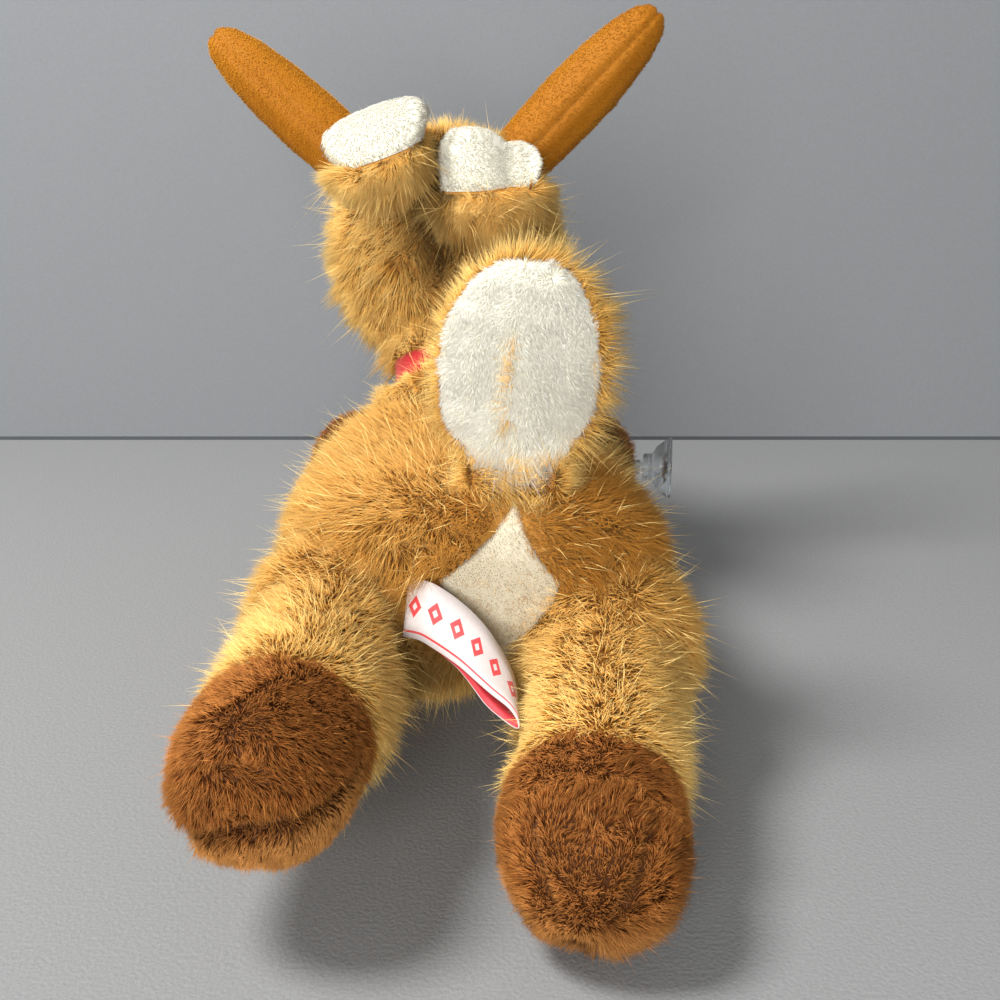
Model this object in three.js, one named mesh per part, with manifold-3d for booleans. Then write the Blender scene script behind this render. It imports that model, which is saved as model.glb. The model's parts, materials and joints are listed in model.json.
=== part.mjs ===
// A stuffed toy deer lying on its belly, with its tail raised and its ears laid back.
// Millimetres, +Z up, +Y towards the head. The origin is on the table, at the middle of
// the flat place that the belly rests on.
import * as THREE from "three";
import { mergeVertices } from "three/addons/utils/BufferGeometryUtils.js";
import Module from "manifold-3d";

const wasm = await Module();
wasm.setup();

// Cloth, seams and clearances
const skinWall = 3;
const antlerWall = 2.1;
const fitGap = 0.3;
const seamGap = 0.3;
const restCut = 0.5;
const cutOverrun = 30;
const mergeStep = 0.0005;

// Torso, as it lies: it leans to its left towards the head
const torsoLength = 178;
const torsoRear = -116;
const torsoHalfWidth = 69;
const torsoTop = 112;
const torsoLean = -12;

// Belly gusset
const gussetHalfWidth = 24;
const gussetWaistHalfWidth = 8;
const gussetShift = 5;
const diamondHalfWidth = 21;
const diamondTop = 109;
const diamondMiddle = 83;
const diamondBottom = 40;

// Head and neck: the neck sits across, along and up the torso, and carries the head
const neckSeatShares = [-0.174, 0.9, 0.946];
const headSeatShares = [-0.154, 0.654, 1.231];
const headHalfWidth = 50;
const headHalfHeight = 52;
const headBackReach = 50;
const headFrontReach = 78;
const neckBallRadius = 38;
const neckRadius = 29;
const neckHoleRadius = 20;
const neckShoulder = 3;

// Neck ribbon and bow
const ribbonThickness = 1;
const ribbonWidth = 10;
const ribbonHeight = 8;
const bowHalfWidth = 17;
const bowLoopDepth = 7;
const bowTailLength = 24;
const bowTailSpread = 12;
const knotHalfSize = 5;

// Eyes and nose
const eyeRadius = 7;
const eyeHeight = 5;
const noseRadius = 8;
const noseHeight = 6;
const noseWidening = 1.4;
const shankRadius = 2;
const washerRadius = 7.5;
const washerThickness = 1.5;
const seatDepth = 1.2;
const shankTail = 3;
const eyeWasherSink = 2.6;
const noseWasherSink = 5;

// Ears: padded below, and laid back from a root on the crown, given as shares of the head
const earLength = 62;
const earHalfWidth = 24;
const earHalfThickness = 4.5;
const earPouchDepth = 15;
const earRootRadius = 4.5;
const earRootHalfLength = 9;
const earPlaces = [
  { name: "left", side: -1, rootShares: [-0.5, -0.2, 0.923], tilt: -20, droop: 0 },
  { name: "right", side: 1, rootShares: [0.44, -0.2, 0.93], tilt: 14, droop: 20 },
];

// Antlers: foot and tip of each beam, out and up from the head's middle as shares of the reach
const antlerReach = 104;
const antlerForward = 6;
const antlerThickness = 29;
const antlerWidth = 28;
const tineLength = 36;
const tineRadius = 9;
const antlerPlaces = [
  { name: "left", side: -1, footShares: [0.297, 0.262], tipShares: [1, 0.894], twist: 0 },
  { name: "right", side: 1, footShares: [0.288, 0.335], tipShares: [0.925, 0.988], twist: 26 },
];

// Tail
const tailSeatShares = [0.145, 0.129, 1.018];
const tailLength = 76;
const tailHalfWidth = 28;
const tailHalfThickness = 9;
const tailRootRadius = 7;
const tailRootHalfLength = 15;
const tailSlant = 4;

// Legs: a ball seated in the torso, a limb and a hoof
const hindLeg = {
  ball: 32,
  limb: 25,
  length: 124,
  seam: 76,
  hoof: 28,
  soleDrop: 15,
};
const frontLeg = {
  ball: 29,
  limb: 21,
  length: 96,
  seam: 54,
  hoof: 26,
  soleDrop: 14,
};

// Where each leg sits across, along and up the torso, and its heading, rise and roll in degrees
const legPlaces = [
  { name: "hind_left", size: hindLeg, hipShares: [-0.754, 0.145, 0.509], turns: [174, -1, 15] },
  { name: "hind_right", size: hindLeg, hipShares: [0.61, 0.11, 0.464], turns: [174, -12, 0] },
  { name: "front_left", size: frontLeg, hipShares: [-0.86, 0.82, 0.402], turns: [5, 8, 0], cup: true },
  { name: "front_right", size: frontLeg, hipShares: [0.58, 0.82, 0.402], turns: [-7, 8, -90], cup: true },
];

// Suction cup
const cupRadius = 15.5;
const cupRim = 1.2;
const cupReach = 18.5;
const cupHollow = 3.8;
const cupBossRadius = 7;
const cupBossReach = 9;
const cupNeckRadius = 3.5;
const cupNeckReach = 4;
const cupButtonRadius = 6.5;
const cupButtonThickness = 1.5;
const cupButtonSink = 2.6;

// Label loop
const labelWidth = 20;
const labelThickness = 0.6;
const labelReach = 64;
const labelLoopGap = 6;
const labelSeatShares = [-0.392, 0.001, 0.666];

// Facet counts
const torsoSides = 22;
const torsoCoreSides = 14;
const headSides = 18;
const headCoreSides = 12;
const legSides = 14;
const legCoreSides = 10;
const socketSides = 18;
const ballRings = 5;
const padSides = 14;
const antlerSides = 10;
const smallSides = 12;
const cupSides = 16;

const materials = {
  plush: { color: 0xcb9a52, roughness: 0.95 },
  hoofPlush: { color: 0x8c5526, roughness: 0.95 },
  creamPlush: { color: 0xe9e0c4, roughness: 0.95 },
  whitePlush: { color: 0xefebd8, roughness: 0.95 },
  velour: { color: 0xd9882b, roughness: 0.9 },
  stuffing: { color: 0xf2f2ee, roughness: 1 },
  blackPlastic: { color: 0x17120f, roughness: 0.15 },
  washerPlastic: { color: 0xdedede, roughness: 0.5 },
  satin: { color: 0xb4202a, roughness: 0.4 },
  labelTape: { color: 0xf4f0ec, roughness: 0.5 },
  clearVinyl: { color: 0xdfeaf0, roughness: 0.1, transparent: true, opacity: 0.4 },
};

// A closed geometry as a solid for cutting and joining
function solidOf(geometry, matrix) {
  const plain = geometry.clone();
  plain.deleteAttribute("normal");
  plain.deleteAttribute("uv");
  if (matrix) plain.applyMatrix4(matrix);
  const merged = mergeVertices(plain, mergeStep);
  const corners = merged.index.array;
  const kept = [];
  for (let i = 0; i < corners.length; i += 3) {
    const [a, b, c] = [corners[i], corners[i + 1], corners[i + 2]];
    if (a !== b && b !== c && c !== a) kept.push(a, b, c);
  }
  return new wasm.Manifold(new wasm.Mesh({
    numProp: 3,
    vertProperties: merged.attributes.position.array,
    triVerts: new Uint32Array(kept),
  }));
}

function geometryOf(solid) {
  const mesh = solid.getMesh();
  const geometry = new THREE.BufferGeometry();
  const corners = new Float32Array(mesh.vertProperties);
  geometry.setAttribute("position", new THREE.BufferAttribute(corners, 3));
  geometry.setIndex(new THREE.BufferAttribute(new Uint32Array(mesh.triVerts), 1));
  geometry.computeVertexNormals();
  return geometry;
}

function cut(solid, ...tools) {
  return tools.reduce((left, tool) => left.subtract(tool), solid);
}

function join(...solids) {
  return solids.reduce((whole, solid) => whole.add(solid));
}

// The largest body, without crumbs left between two cuts
function mainBody(solid) {
  return solid.decompose().reduce((best, body) => (body.volume() > best.volume() ? body : best));
}

// Rings of points skinned into a closed body, each end closed by a fan
function loft(rings) {
  const sides = rings[0].length;
  const points = rings.flat();
  const ends = [rings[0], rings[rings.length - 1]].map((ring) => {
    const middle = new THREE.Vector3();
    ring.forEach((point) => middle.addScaledVector(point, 1 / sides));
    return middle;
  });
  const index = [];
  for (let side = 0; side < sides; side++) {
    const next = (side + 1) % sides;
    index.push(points.length, next, side);
    const last = points.length - sides;
    index.push(points.length + 1, last + side, last + next);
    for (let ring = 0; ring + 1 < rings.length; ring++) {
      const low = ring * sides;
      const high = low + sides;
      index.push(low + side, low + next, high + next, low + side, high + next, high + side);
    }
  }
  const geometry = new THREE.BufferGeometry().setFromPoints([...points, ...ends]);
  geometry.setIndex(index);
  return facingOut(geometry);
}

// Turns every triangle round if the body came out inside out
function facingOut(geometry) {
  const place = geometry.attributes.position;
  const index = geometry.index.array;
  const [a, b, c] = [new THREE.Vector3(), new THREE.Vector3(), new THREE.Vector3()];
  let sixVolumes = 0;
  for (let i = 0; i < index.length; i += 3) {
    a.fromBufferAttribute(place, index[i]);
    b.fromBufferAttribute(place, index[i + 1]);
    c.fromBufferAttribute(place, index[i + 2]);
    sixVolumes += a.dot(b.cross(c));
  }
  if (sixVolumes < 0) geometry.setIndex([...index].reverse());
  return geometry;
}

// One ring of a loft: an oval, or a squarer oval when power is over 2
function oval(middle, across, up, halfAcross, halfUp, sides, power = 2) {
  const ring = [];
  for (let side = 0; side < sides; side++) {
    const angle = (side / sides) * 2 * Math.PI;
    const [cos, sin] = [Math.cos(angle), Math.sin(angle)];
    ring.push(middle.clone()
      .addScaledVector(across, halfAcross * Math.sign(cos) * Math.abs(cos) ** (2 / power))
      .addScaledVector(up, halfUp * Math.sign(sin) * Math.abs(sin) ** (2 / power)));
  }
  return ring;
}

const axisX = new THREE.Vector3(1, 0, 0);
const axisY = new THREE.Vector3(0, 1, 0);
const axisZ = new THREE.Vector3(0, 0, 1);

function vector(place) {
  return new THREE.Vector3(...place);
}

function radians(degrees) {
  return THREE.MathUtils.degToRad(degrees);
}

function placed(place, turn = new THREE.Matrix4()) {
  return new THREE.Matrix4().makeTranslation(...place).multiply(turn);
}

// A ball whose facets lie outside the true sphere, for cutting sockets
function socketBall(place, radius) {
  const facetReach = Math.cos(Math.PI / socketSides) ** 2;
  const sphere = new THREE.SphereGeometry(radius / facetReach, socketSides, socketSides / 2);
  return solidOf(sphere, placed(place));
}

function block(low, high) {
  const size = high.map((value, i) => value - low[i]);
  const middle = high.map((value, i) => (value + low[i]) / 2);
  return solidOf(new THREE.BoxGeometry(...size), placed(middle));
}

function rollAlongX(place, radius, halfLength, turn = new THREE.Matrix4()) {
  const roll = new THREE.CylinderGeometry(radius, radius, 2 * halfLength, smallSides);
  roll.rotateZ(Math.PI / 2);
  return solidOf(roll, placed(place, turn));
}

function revolve(profile, sides, matrix) {
  const points = profile.map(([radius, height]) => new THREE.Vector2(radius, height));
  return solidOf(facingOut(mergeVertices(bare(new THREE.LatheGeometry(points, sides)), mergeStep)), matrix);
}

function bare(geometry) {
  geometry.deleteAttribute("normal");
  geometry.deleteAttribute("uv");
  return geometry;
}

// A place across, along and up the torso, given as shares of its sizes
function torsoPlace([across, along, up]) {
  return [torsoHalfWidth * across, torsoRear + torsoLength * along, torsoTop * up];
}

const neckPlace = torsoPlace(neckSeatShares);
const headPlace = neckPlace.map((value, i) => value + headHalfHeight * headSeatShares[i]);
const tailPlace = torsoPlace(tailSeatShares);
const legs = legPlaces.map((leg) => ({ ...leg, hip: torsoPlace(leg.hipShares) }));

const deer = new THREE.Group();

function addPiece(name, solid, finish) {
  const mesh = new THREE.Mesh(geometryOf(solid), new THREE.MeshStandardMaterial(materials[finish]));
  mesh.name = name;
  deer.add(mesh);
}

// Torso: along Y, half width, top, underside and lean as shares of the torso's sizes
const torsoShares = [
  [0.006, 0.22, 0.82, 0.62, -0.35],
  [0.03, 0.50, 0.91, 0.50, -0.3],
  [0.08, 0.74, 0.97, 0.42, -0.15],
  [0.16, 0.92, 1.0, 0.32, 0.1],
  [0.30, 1.0, 1.0, 0.17, 0.5],
  [0.44, 1.0, 0.99, 0.04, 0.75],
  [0.53, 0.98, 0.99, 0.0, 0.85],
  [0.66, 0.92, 1.0, 0.0, 0.95],
  [0.76, 0.82, 1.0, 0.0, 1.0],
  [0.86, 0.60, 0.97, 0.07, 1.0],
  [0.94, 0.38, 0.85, 0.22, 1.0],
  [0.985, 0.22, 0.70, 0.38, 1.0],
];
const torsoPower = 2.5;

function torsoBody(inset) {
  const middleShare = 0.5;
  const lengthShare = 1 - (2 * inset) / torsoLength;
  const rings = torsoShares.map(([along, width, top, under, lean]) => {
    const y = torsoRear + torsoLength * (middleShare + (along - middleShare) * lengthShare);
    const high = torsoTop * top - inset;
    const low = torsoTop * under - restCut + inset;
    const middle = new THREE.Vector3(torsoLean * lean, y, (high + low) / 2);
    const halfWidth = torsoHalfWidth * width - inset;
    const sides = inset > 0 ? torsoCoreSides : torsoSides;
    return oval(middle, axisX, axisZ, halfWidth, (high - low) / 2, sides, torsoPower);
  });
  return solidOf(loft(rings));
}

// The gusset's ground plan along the belly and its diamond end on the rump
function gussetTool(grow) {
  const lensShares = [[0.12, 1, 0], [0.3, 1, 0.5], [0.5, 0, 0.85], [0.78, 0, 1], [0.97, 1, 1]];
  const lens = new THREE.Shape();
  const outline = lensShares.map(([along, waist, lean]) => {
    const half = waist ? gussetWaistHalfWidth : gussetHalfWidth;
    return [gussetShift * (1 - lean) + torsoLean * lean, half + grow, torsoRear + torsoLength * along];
  });
  outline.forEach(([middle, half, y], i) => {
    if (i) lens.lineTo(middle + half, y);
    else lens.moveTo(middle + half, y);
  });
  outline.reverse().forEach(([middle, half, y]) => lens.lineTo(middle - half, y));
  const lensDepth = cutOverrun + torsoTop / 2;
  const plan = new THREE.ExtrudeGeometry(lens, { depth: lensDepth, bevelEnabled: false });
  plan.translate(0, 0, -cutOverrun);

  const diamond = new THREE.Shape();
  diamond.moveTo(gussetShift, diamondTop + grow);
  diamond.quadraticCurveTo(gussetShift + diamondHalfWidth / 4, (diamondTop + diamondMiddle) / 2,
    gussetShift + diamondHalfWidth + grow, diamondMiddle);
  diamond.lineTo(gussetShift + gussetWaistHalfWidth + grow, diamondBottom);
  diamond.lineTo(gussetShift - gussetWaistHalfWidth - grow, diamondBottom);
  diamond.lineTo(gussetShift - diamondHalfWidth - grow, diamondMiddle);
  diamond.quadraticCurveTo(gussetShift - diamondHalfWidth / 4, (diamondTop + diamondMiddle) / 2,
    gussetShift, diamondTop + grow);
  const reach = torsoLength / 4 + cutOverrun;
  const rear = new THREE.ExtrudeGeometry(diamond, { depth: reach, bevelEnabled: false, curveSegments: 3 });
  rear.rotateX(Math.PI / 2);
  rear.translate(0, torsoRear - cutOverrun + reach, 0);
  return join(solidOf(plan), solidOf(rear));
}

const underTable = block(
  [-2 * torsoHalfWidth, torsoRear - cutOverrun, -cutOverrun],
  [2 * torsoHalfWidth, torsoRear + torsoLength + cutOverrun, 0],
);

function torsoSockets(clearance) {
  return [
    ...legs.map((leg) => socketBall(leg.hip, leg.size.ball + clearance)),
    socketBall(neckPlace, neckBallRadius + clearance),
    rollAlongX(tailPlace, tailRootRadius + clearance, tailRootHalfLength + clearance),
  ];
}

function addTorso() {
  const shell = cut(torsoBody(0), torsoBody(skinWall), underTable, ...torsoSockets(fitGap));
  addPiece("torso_skin", mainBody(cut(shell, gussetTool(seamGap))), "plush");
  addPiece("belly_panel", shell.intersect(gussetTool(0)), "creamPlush");
  const filling = cut(torsoBody(skinWall + fitGap), ...torsoSockets(2 * fitGap));
  addPiece("torso_stuffing", filling, "stuffing");
}

// Head: along Y from its middle, half width, half height and lift, as shares
const headShares = [
  [-0.97, 0.22, 0.22, 0],
  [-0.86, 0.50, 0.50, 0],
  [-0.62, 0.80, 0.80, 0],
  [-0.30, 0.96, 0.96, 0],
  [0.0, 1.0, 1.0, 0],
  [0.22, 0.93, 0.94, -0.02],
  [0.42, 0.74, 0.74, -0.08],
  [0.60, 0.55, 0.53, -0.20],
  [0.80, 0.47, 0.43, -0.30],
  [0.93, 0.34, 0.31, -0.32],
  [0.985, 0.16, 0.15, -0.32],
];

function headAlong(share, inset) {
  const reach = share < 0 ? headBackReach : headFrontReach;
  return headPlace[1] + share * (reach - inset);
}

function headBall(inset) {
  const rings = headShares.map(([along, width, height, lift]) => {
    const middle = new THREE.Vector3(
      headPlace[0],
      headAlong(along, inset),
      headPlace[2] + headHalfHeight * lift,
    );
    return oval(middle, axisX, axisZ, headHalfWidth * width - inset,
      headHalfHeight * height - inset, inset > 0 ? headCoreSides : headSides);
  });
  return solidOf(loft(rings));
}

const neckAxis = vector(headPlace).sub(vector(neckPlace));
const neckReach = neckAxis.length();
neckAxis.normalize();
const neckTurn = new THREE.Matrix4().makeRotationFromQuaternion(
  new THREE.Quaternion().setFromUnitVectors(axisY, neckAxis),
);

// The neck plug: part of a ball below, a plain column above
function neckPlug(inset) {
  const radius = neckBallRadius - inset;
  const profile = [];
  const shoulder = neckShoulder - inset;
  const shoulderAngle = Math.asin(shoulder / radius);
  for (let ring = 0; ring <= ballRings; ring++) {
    const angle = -Math.PI / 2 + (ring / ballRings) * (shoulderAngle + Math.PI / 2);
    profile.push([ring ? radius * Math.cos(angle) : 0, radius * Math.sin(angle)]);
  }
  const flareShares = [[0.55, 0.3], [0.2, 0.6], [0, 1]];
  flareShares.forEach(([out, up]) => profile.push([
    neckRadius - inset + (neckBallRadius - neckRadius) * out,
    shoulder + (ribbonHeight - neckShoulder) * up,
  ]));
  profile.push([neckRadius - inset, neckReach / 2], [0, neckReach / 2]);
  return revolve(profile, inset > 0 ? headCoreSides : headSides, placed(neckPlace, neckTurn));
}

function headBody(inset) {
  return join(headBall(inset), neckPlug(inset));
}

// Eyes and nose stand on their own seats: +Y of each matrix points out of the face
const eyeAlongShare = 0.42;
const eyeAngle = 28;
const eyeWay = [1.3, 0.9, 0.5];
const noseWay = [0, 1, 0.35];
const domeShares = [[0, 1], [0.5, 0.87], [0.87, 0.5], [1, 0]];
const domeFootShare = 0.94;

function faceSeat(outward, surface) {
  const turn = new THREE.Matrix4().makeRotationFromQuaternion(
    new THREE.Quaternion().setFromUnitVectors(axisY, outward.clone().normalize()),
  );
  return placed(surface.toArray(), turn);
}

function eyeSeat(side) {
  const station = headShares.find(([along]) => along === eyeAlongShare);
  const halfWidth = headHalfWidth * station[1];
  const halfHeight = headHalfHeight * station[2];
  const angle = radians(eyeAngle);
  const surface = new THREE.Vector3(
    headPlace[0] + side * halfWidth * Math.cos(angle),
    headAlong(eyeAlongShare, 0),
    headPlace[2] + headHalfHeight * station[3] + halfHeight * Math.sin(angle),
  );
  return faceSeat(vector([side * eyeWay[0], eyeWay[1], eyeWay[2]]), surface);
}

function noseSeat() {
  const [, , , lift] = headShares[headShares.length - 1];
  const surface = new THREE.Vector3(
    headPlace[0],
    headAlong(1, 0),
    headPlace[2] + headHalfHeight * lift + noseHeight / 2,
  );
  return faceSeat(vector(noseWay), surface);
}

function domeProfile(radius, height, shankReach) {
  return [
    ...domeShares.map(([out, up]) => [radius * out, height * up]),
    [radius * domeFootShare, fitGap - seatDepth],
    [shankRadius, fitGap - seatDepth],
    [shankRadius, -shankReach],
    [0, -shankReach],
  ];
}

function disc(radius, top, bottom, matrix, hole = 0) {
  const profile = hole
    ? [[hole, top], [radius, top], [radius, bottom], [hole, bottom], [hole, top]]
    : [[0, top], [radius, top], [radius, bottom], [0, bottom]];
  return revolve(profile, smallSides, matrix);
}

// Each fixing: its dome, the seat cut in the skin, and its washer with room in the stuffing
function faceFixing(name, radius, height, widening, sink, matrix) {
  const stretched = matrix.clone().multiply(new THREE.Matrix4().makeScale(widening, 1, 1));
  const washerTop = -skinWall - fitGap - sink;
  const shankReach = washerThickness + shankTail - washerTop;
  return {
    name,
    body: revolve(domeProfile(radius, height, shankReach), smallSides, stretched),
    washer: disc(washerRadius, washerTop, washerTop - washerThickness, matrix,
      shankRadius * widening + fitGap),
    seat: disc(radius + fitGap, cutOverrun, -seatDepth, stretched),
    shankHole: disc(shankRadius * widening + fitGap, 0, -shankReach - fitGap, matrix),
    pocket: disc(washerRadius + fitGap, 0, washerTop - washerThickness - fitGap, matrix),
  };
}

const fixings = [
  faceFixing("eye_left", eyeRadius, eyeHeight, 1, eyeWasherSink, eyeSeat(-1)),
  faceFixing("eye_right", eyeRadius, eyeHeight, 1, eyeWasherSink, eyeSeat(1)),
  faceFixing("nose", noseRadius, noseHeight, noseWidening, noseWasherSink, noseSeat()),
];

// Ears: back, rise, half width, thickness and pouch of the pad as shares of the ear's sizes
const earShares = [
  [0.0, 0.0, 0.34, 0.95, 0.25],
  [-0.12, 0.11, 0.62, 1.0, 0.36],
  [-0.30, 0.18, 0.90, 1.0, 0.66],
  [-0.50, 0.17, 1.0, 1.0, 0.95],
  [-0.70, 0.08, 0.94, 0.95, 1.0],
  [-0.86, -0.05, 0.72, 0.8, 0.92],
  [-0.96, -0.16, 0.40, 0.5, 0.66],
];

function earTurn(ear) {
  return new THREE.Matrix4().makeRotationY(radians(ear.tilt))
    .multiply(new THREE.Matrix4().makeRotationX(radians(ear.droop)));
}

function earRoot(ear) {
  const headHalves = [headHalfWidth, headHalfWidth, headHalfHeight];
  return headPlace.map((value, i) => value + headHalves[i] * ear.rootShares[i]);
}

function earMatrix(ear) {
  return placed(earRoot(ear), earTurn(ear));
}

function earMiddles() {
  return earShares.map(([back, rise]) => new THREE.Vector3(0, earLength * back, earLength * rise));
}

function padUp(middles, i) {
  const before = middles[Math.max(i - 1, 0)];
  const after = middles[Math.min(i + 1, middles.length - 1)];
  return axisX.clone().cross(before.clone().sub(after)).normalize();
}

function earPad(ear) {
  const middles = earMiddles();
  const rings = earShares.map(([, , width, thick, pouch], i) => {
    const [flat, deep] = [earHalfThickness * thick, earPouchDepth * pouch].map((half) => oval(
      middles[i], axisX, padUp(middles, i), earHalfWidth * width, half, padSides));
    return flat.map((point, side) => (side <= padSides / 2 ? point : deep[side]));
  });
  const root = rollAlongX([0, 0, 0], earRootRadius, earRootHalfLength);
  return join(solidOf(loft(rings)), root).transform(earMatrix(ear).elements);
}

// Everything on the upper side of the ear's middle surface
function earUpper(ear, shift) {
  const middles = earMiddles();
  const rings = earShares.map((shares, i) => {
    const up = padUp(middles, i);
    const low = middles[i].clone().addScaledVector(up, shift);
    const high = middles[i].clone().addScaledVector(up, 3 * earHalfThickness);
    return [[1, low], [-1, low], [-1, high], [1, high]].map(([way, point]) => point.clone()
      .addScaledVector(axisX, 2 * way * earHalfWidth));
  });
  const stretch = middles[0].clone().sub(middles[1]);
  const tip = middles[middles.length - 1].clone().sub(middles[middles.length - 2]);
  rings[0].forEach((point) => point.add(stretch));
  rings[rings.length - 1].forEach((point) => point.add(tip));
  return solidOf(loft(rings)).transform(earMatrix(ear).elements);
}

// Antlers: a stuffed beam and one forward tine; along, thickness and width as shares
const beamShares = [
  [0.0, 0.96, 0.98],
  [0.21, 1.03, 1.04],
  [0.42, 1.07, 1.08],
  [0.63, 1.0, 1.0],
  [0.81, 0.84, 0.84],
  [0.93, 0.60, 0.60],
  [0.985, 0.30, 0.28],
];
const tineShares = [[-0.2, 1.0], [0.15, 1.08], [0.45, 1.0], [0.75, 0.84], [0.93, 0.5], [1.0, 0.2]];
const tineRootRing = 2;
const tineWayShares = { forward: 0.88, along: 0.5 };

function antlerBody(antler, inset) {
  const [foot, tip] = [antler.footShares, antler.tipShares].map(([out, up]) => new THREE.Vector3(
    antler.side * antlerReach * out, antlerForward, antlerReach * up));
  const beamWay = tip.clone().sub(foot).normalize();
  const lean = beamWay.clone().cross(axisY).multiplyScalar(-antler.side).normalize();
  const middles = beamShares.map(([along]) => foot.clone().lerp(tip, along));
  const beam = beamShares.map(([, thick, wide], i) => oval(middles[i], lean, axisY,
    (antlerThickness / 2) * thick - inset, (antlerWidth / 2) * wide - inset, antlerSides));
  const tineWay = axisY.clone().multiplyScalar(tineWayShares.forward)
    .addScaledVector(beamWay, tineWayShares.along)
    .applyAxisAngle(beamWay, -antler.side * radians(antler.twist)).normalize();
  const tineUp = new THREE.Vector3().crossVectors(tineWay, lean).normalize();
  const tineAcross = new THREE.Vector3().crossVectors(tineUp, tineWay).normalize();
  const tine = tineShares.map(([along, thick]) => oval(
    middles[tineRootRing].clone()
      .addScaledVector(tineWay, tineLength * along - inset * Math.max(along, 0)),
    tineAcross, tineUp, tineRadius * thick - inset * Math.min(1, thick),
    tineRadius * thick - inset * Math.min(1, thick), antlerSides));
  return join(solidOf(loft(beam)), solidOf(loft(tine))).transform(placed(headPlace).elements);
}

function addAntlers() {
  const headRoom = headBody(-fitGap);
  for (const antler of antlerPlaces) {
    const outer = cut(antlerBody(antler, 0), headRoom);
    addPiece(`antler_${antler.name}_skin`, cut(outer, antlerBody(antler, antlerWall)), "velour");
    const filling = cut(antlerBody(antler, antlerWall + fitGap), headRoom);
    addPiece(`antler_${antler.name}_stuffing`, filling, "stuffing");
  }
}

function addEars() {
  for (const ear of earPlaces) {
    const pad = earPad(ear);
    addPiece(`ear_${ear.name}_back`, cut(pad, earUpper(ear, 0)), "plush");
    addPiece(`ear_${ear.name}_lining`, pad.intersect(earUpper(ear, seamGap)), "creamPlush");
  }
}

function addHead() {
  const grooves = earPlaces.map((ear) => rollAlongX(earRoot(ear), earRootRadius + fitGap,
    earRootHalfLength + fitGap, earTurn(ear)));
  const neckHole = revolve([[0, -neckBallRadius - cutOverrun], [neckHoleRadius, -neckBallRadius - cutOverrun],
    [neckHoleRadius, 0], [0, 0]], headCoreSides, placed(neckPlace, neckTurn));
  const skin = cut(headBody(0), headBody(skinWall), neckHole, ...grooves,
    ...fixings.map((fixing) => fixing.seat), ...fixings.map((fixing) => fixing.shankHole));
  addPiece("head_skin", skin, "plush");
  const filling = cut(headBody(skinWall + fitGap), ...grooves,
    ...fixings.map((fixing) => fixing.pocket), ...fixings.map((fixing) => fixing.shankHole));
  addPiece("head_stuffing", filling, "stuffing");
  for (const fixing of fixings) {
    addPiece(fixing.name, fixing.body, "blackPlastic");
    addPiece(`${fixing.name}_washer`, fixing.washer, "washerPlastic");
  }
}

// Ribbons: a flat section carried along a route, its width lying along widthWays
function ribbonSolid(route, widthWays, width, thickness) {
  const rings = route.map((point, i) => {
    const before = route[Math.max(i - 1, 0)];
    const after = route[Math.min(i + 1, route.length - 1)];
    const out = after.clone().sub(before).cross(widthWays[i]).normalize();
    const across = out.clone().cross(after.clone().sub(before)).normalize();
    return [[1, 1], [-1, 1], [-1, -1], [1, -1]].map(([a, b]) => point.clone()
      .addScaledVector(across, a * (width / 2))
      .addScaledVector(out, b * (thickness / 2)));
  });
  return solidOf(loft(rings));
}

const bandRadius = neckRadius + fitGap;
const neckPlaced = placed(neckPlace, neckTurn);

function addNeckRibbon() {
  const low = ribbonHeight;
  const high = ribbonHeight + ribbonWidth;
  const band = revolve([
    [bandRadius, low],
    [bandRadius + ribbonThickness, low],
    [bandRadius + ribbonThickness, high],
    [bandRadius, high],
    [bandRadius, low],
  ], headSides, neckPlaced);
  addPiece("neck_ribbon", band, "satin");

  // The bow sits at the throat: forward of the neck, level across it
  const level = axisZ.clone().cross(neckAxis).cross(neckAxis).normalize();
  const across = new THREE.Vector3().crossVectors(level, neckAxis);
  const middle = vector(neckPlace).addScaledVector(neckAxis, ribbonHeight + ribbonWidth / 2);
  const start = bandRadius + ribbonThickness + fitGap;
  const throat = neckBallRadius - bandRadius + ribbonThickness;
  const at = (side, out, rise) => middle.clone().addScaledVector(across, side)
    .addScaledVector(level, start + out).addScaledVector(neckAxis, rise);
  const knotShares = [[0, 0.8], [1, 1], [1.4, 0.5]];
  const knot = knotShares.map(([out, half]) => oval(at(0, knotHalfSize * out, 0), across, neckAxis,
    knotHalfSize * half, knotHalfSize * half, smallSides));
  let bow = solidOf(loft(knot));
  const loopShares = [[0, 0.1], [0.5, 0], [0.9, 0.12], [1, 0.45], [0.9, 0.85], [0.5, 1], [0, 0.75]];
  const tailRouteShares = [[0.1, 0.4, -0.08], [0.35, 1.05, -0.3], [1, 1.15, -1]];
  for (const side of [-1, 1]) {
    const loop = loopShares.map(([reach, out]) => at(side * bowHalfWidth * reach,
      ribbonThickness + bowLoopDepth * out, 0));
    const tail = tailRouteShares.map(([reach, out, drop]) => at(side * bowTailSpread * reach,
      throat * out, bowTailLength * drop));
    bow = join(bow, ribbonSolid(loop, loop.map(() => neckAxis), ribbonWidth, ribbonThickness),
      ribbonSolid(tail, tail.map(() => across), ribbonWidth, ribbonThickness));
  }
  addPiece("ribbon_bow", bow, "satin");
}

// Tail: a leaf of two panels round a flat filling, standing up from its rolled root
const tailShares = [
  [0.0, 0.40, 0.75],
  [0.12, 0.66, 0.85],
  [0.30, 0.92, 1.0],
  [0.52, 1.0, 1.0],
  [0.74, 0.92, 0.92],
  [0.90, 0.66, 0.72],
  [0.98, 0.34, 0.42],
];

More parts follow.
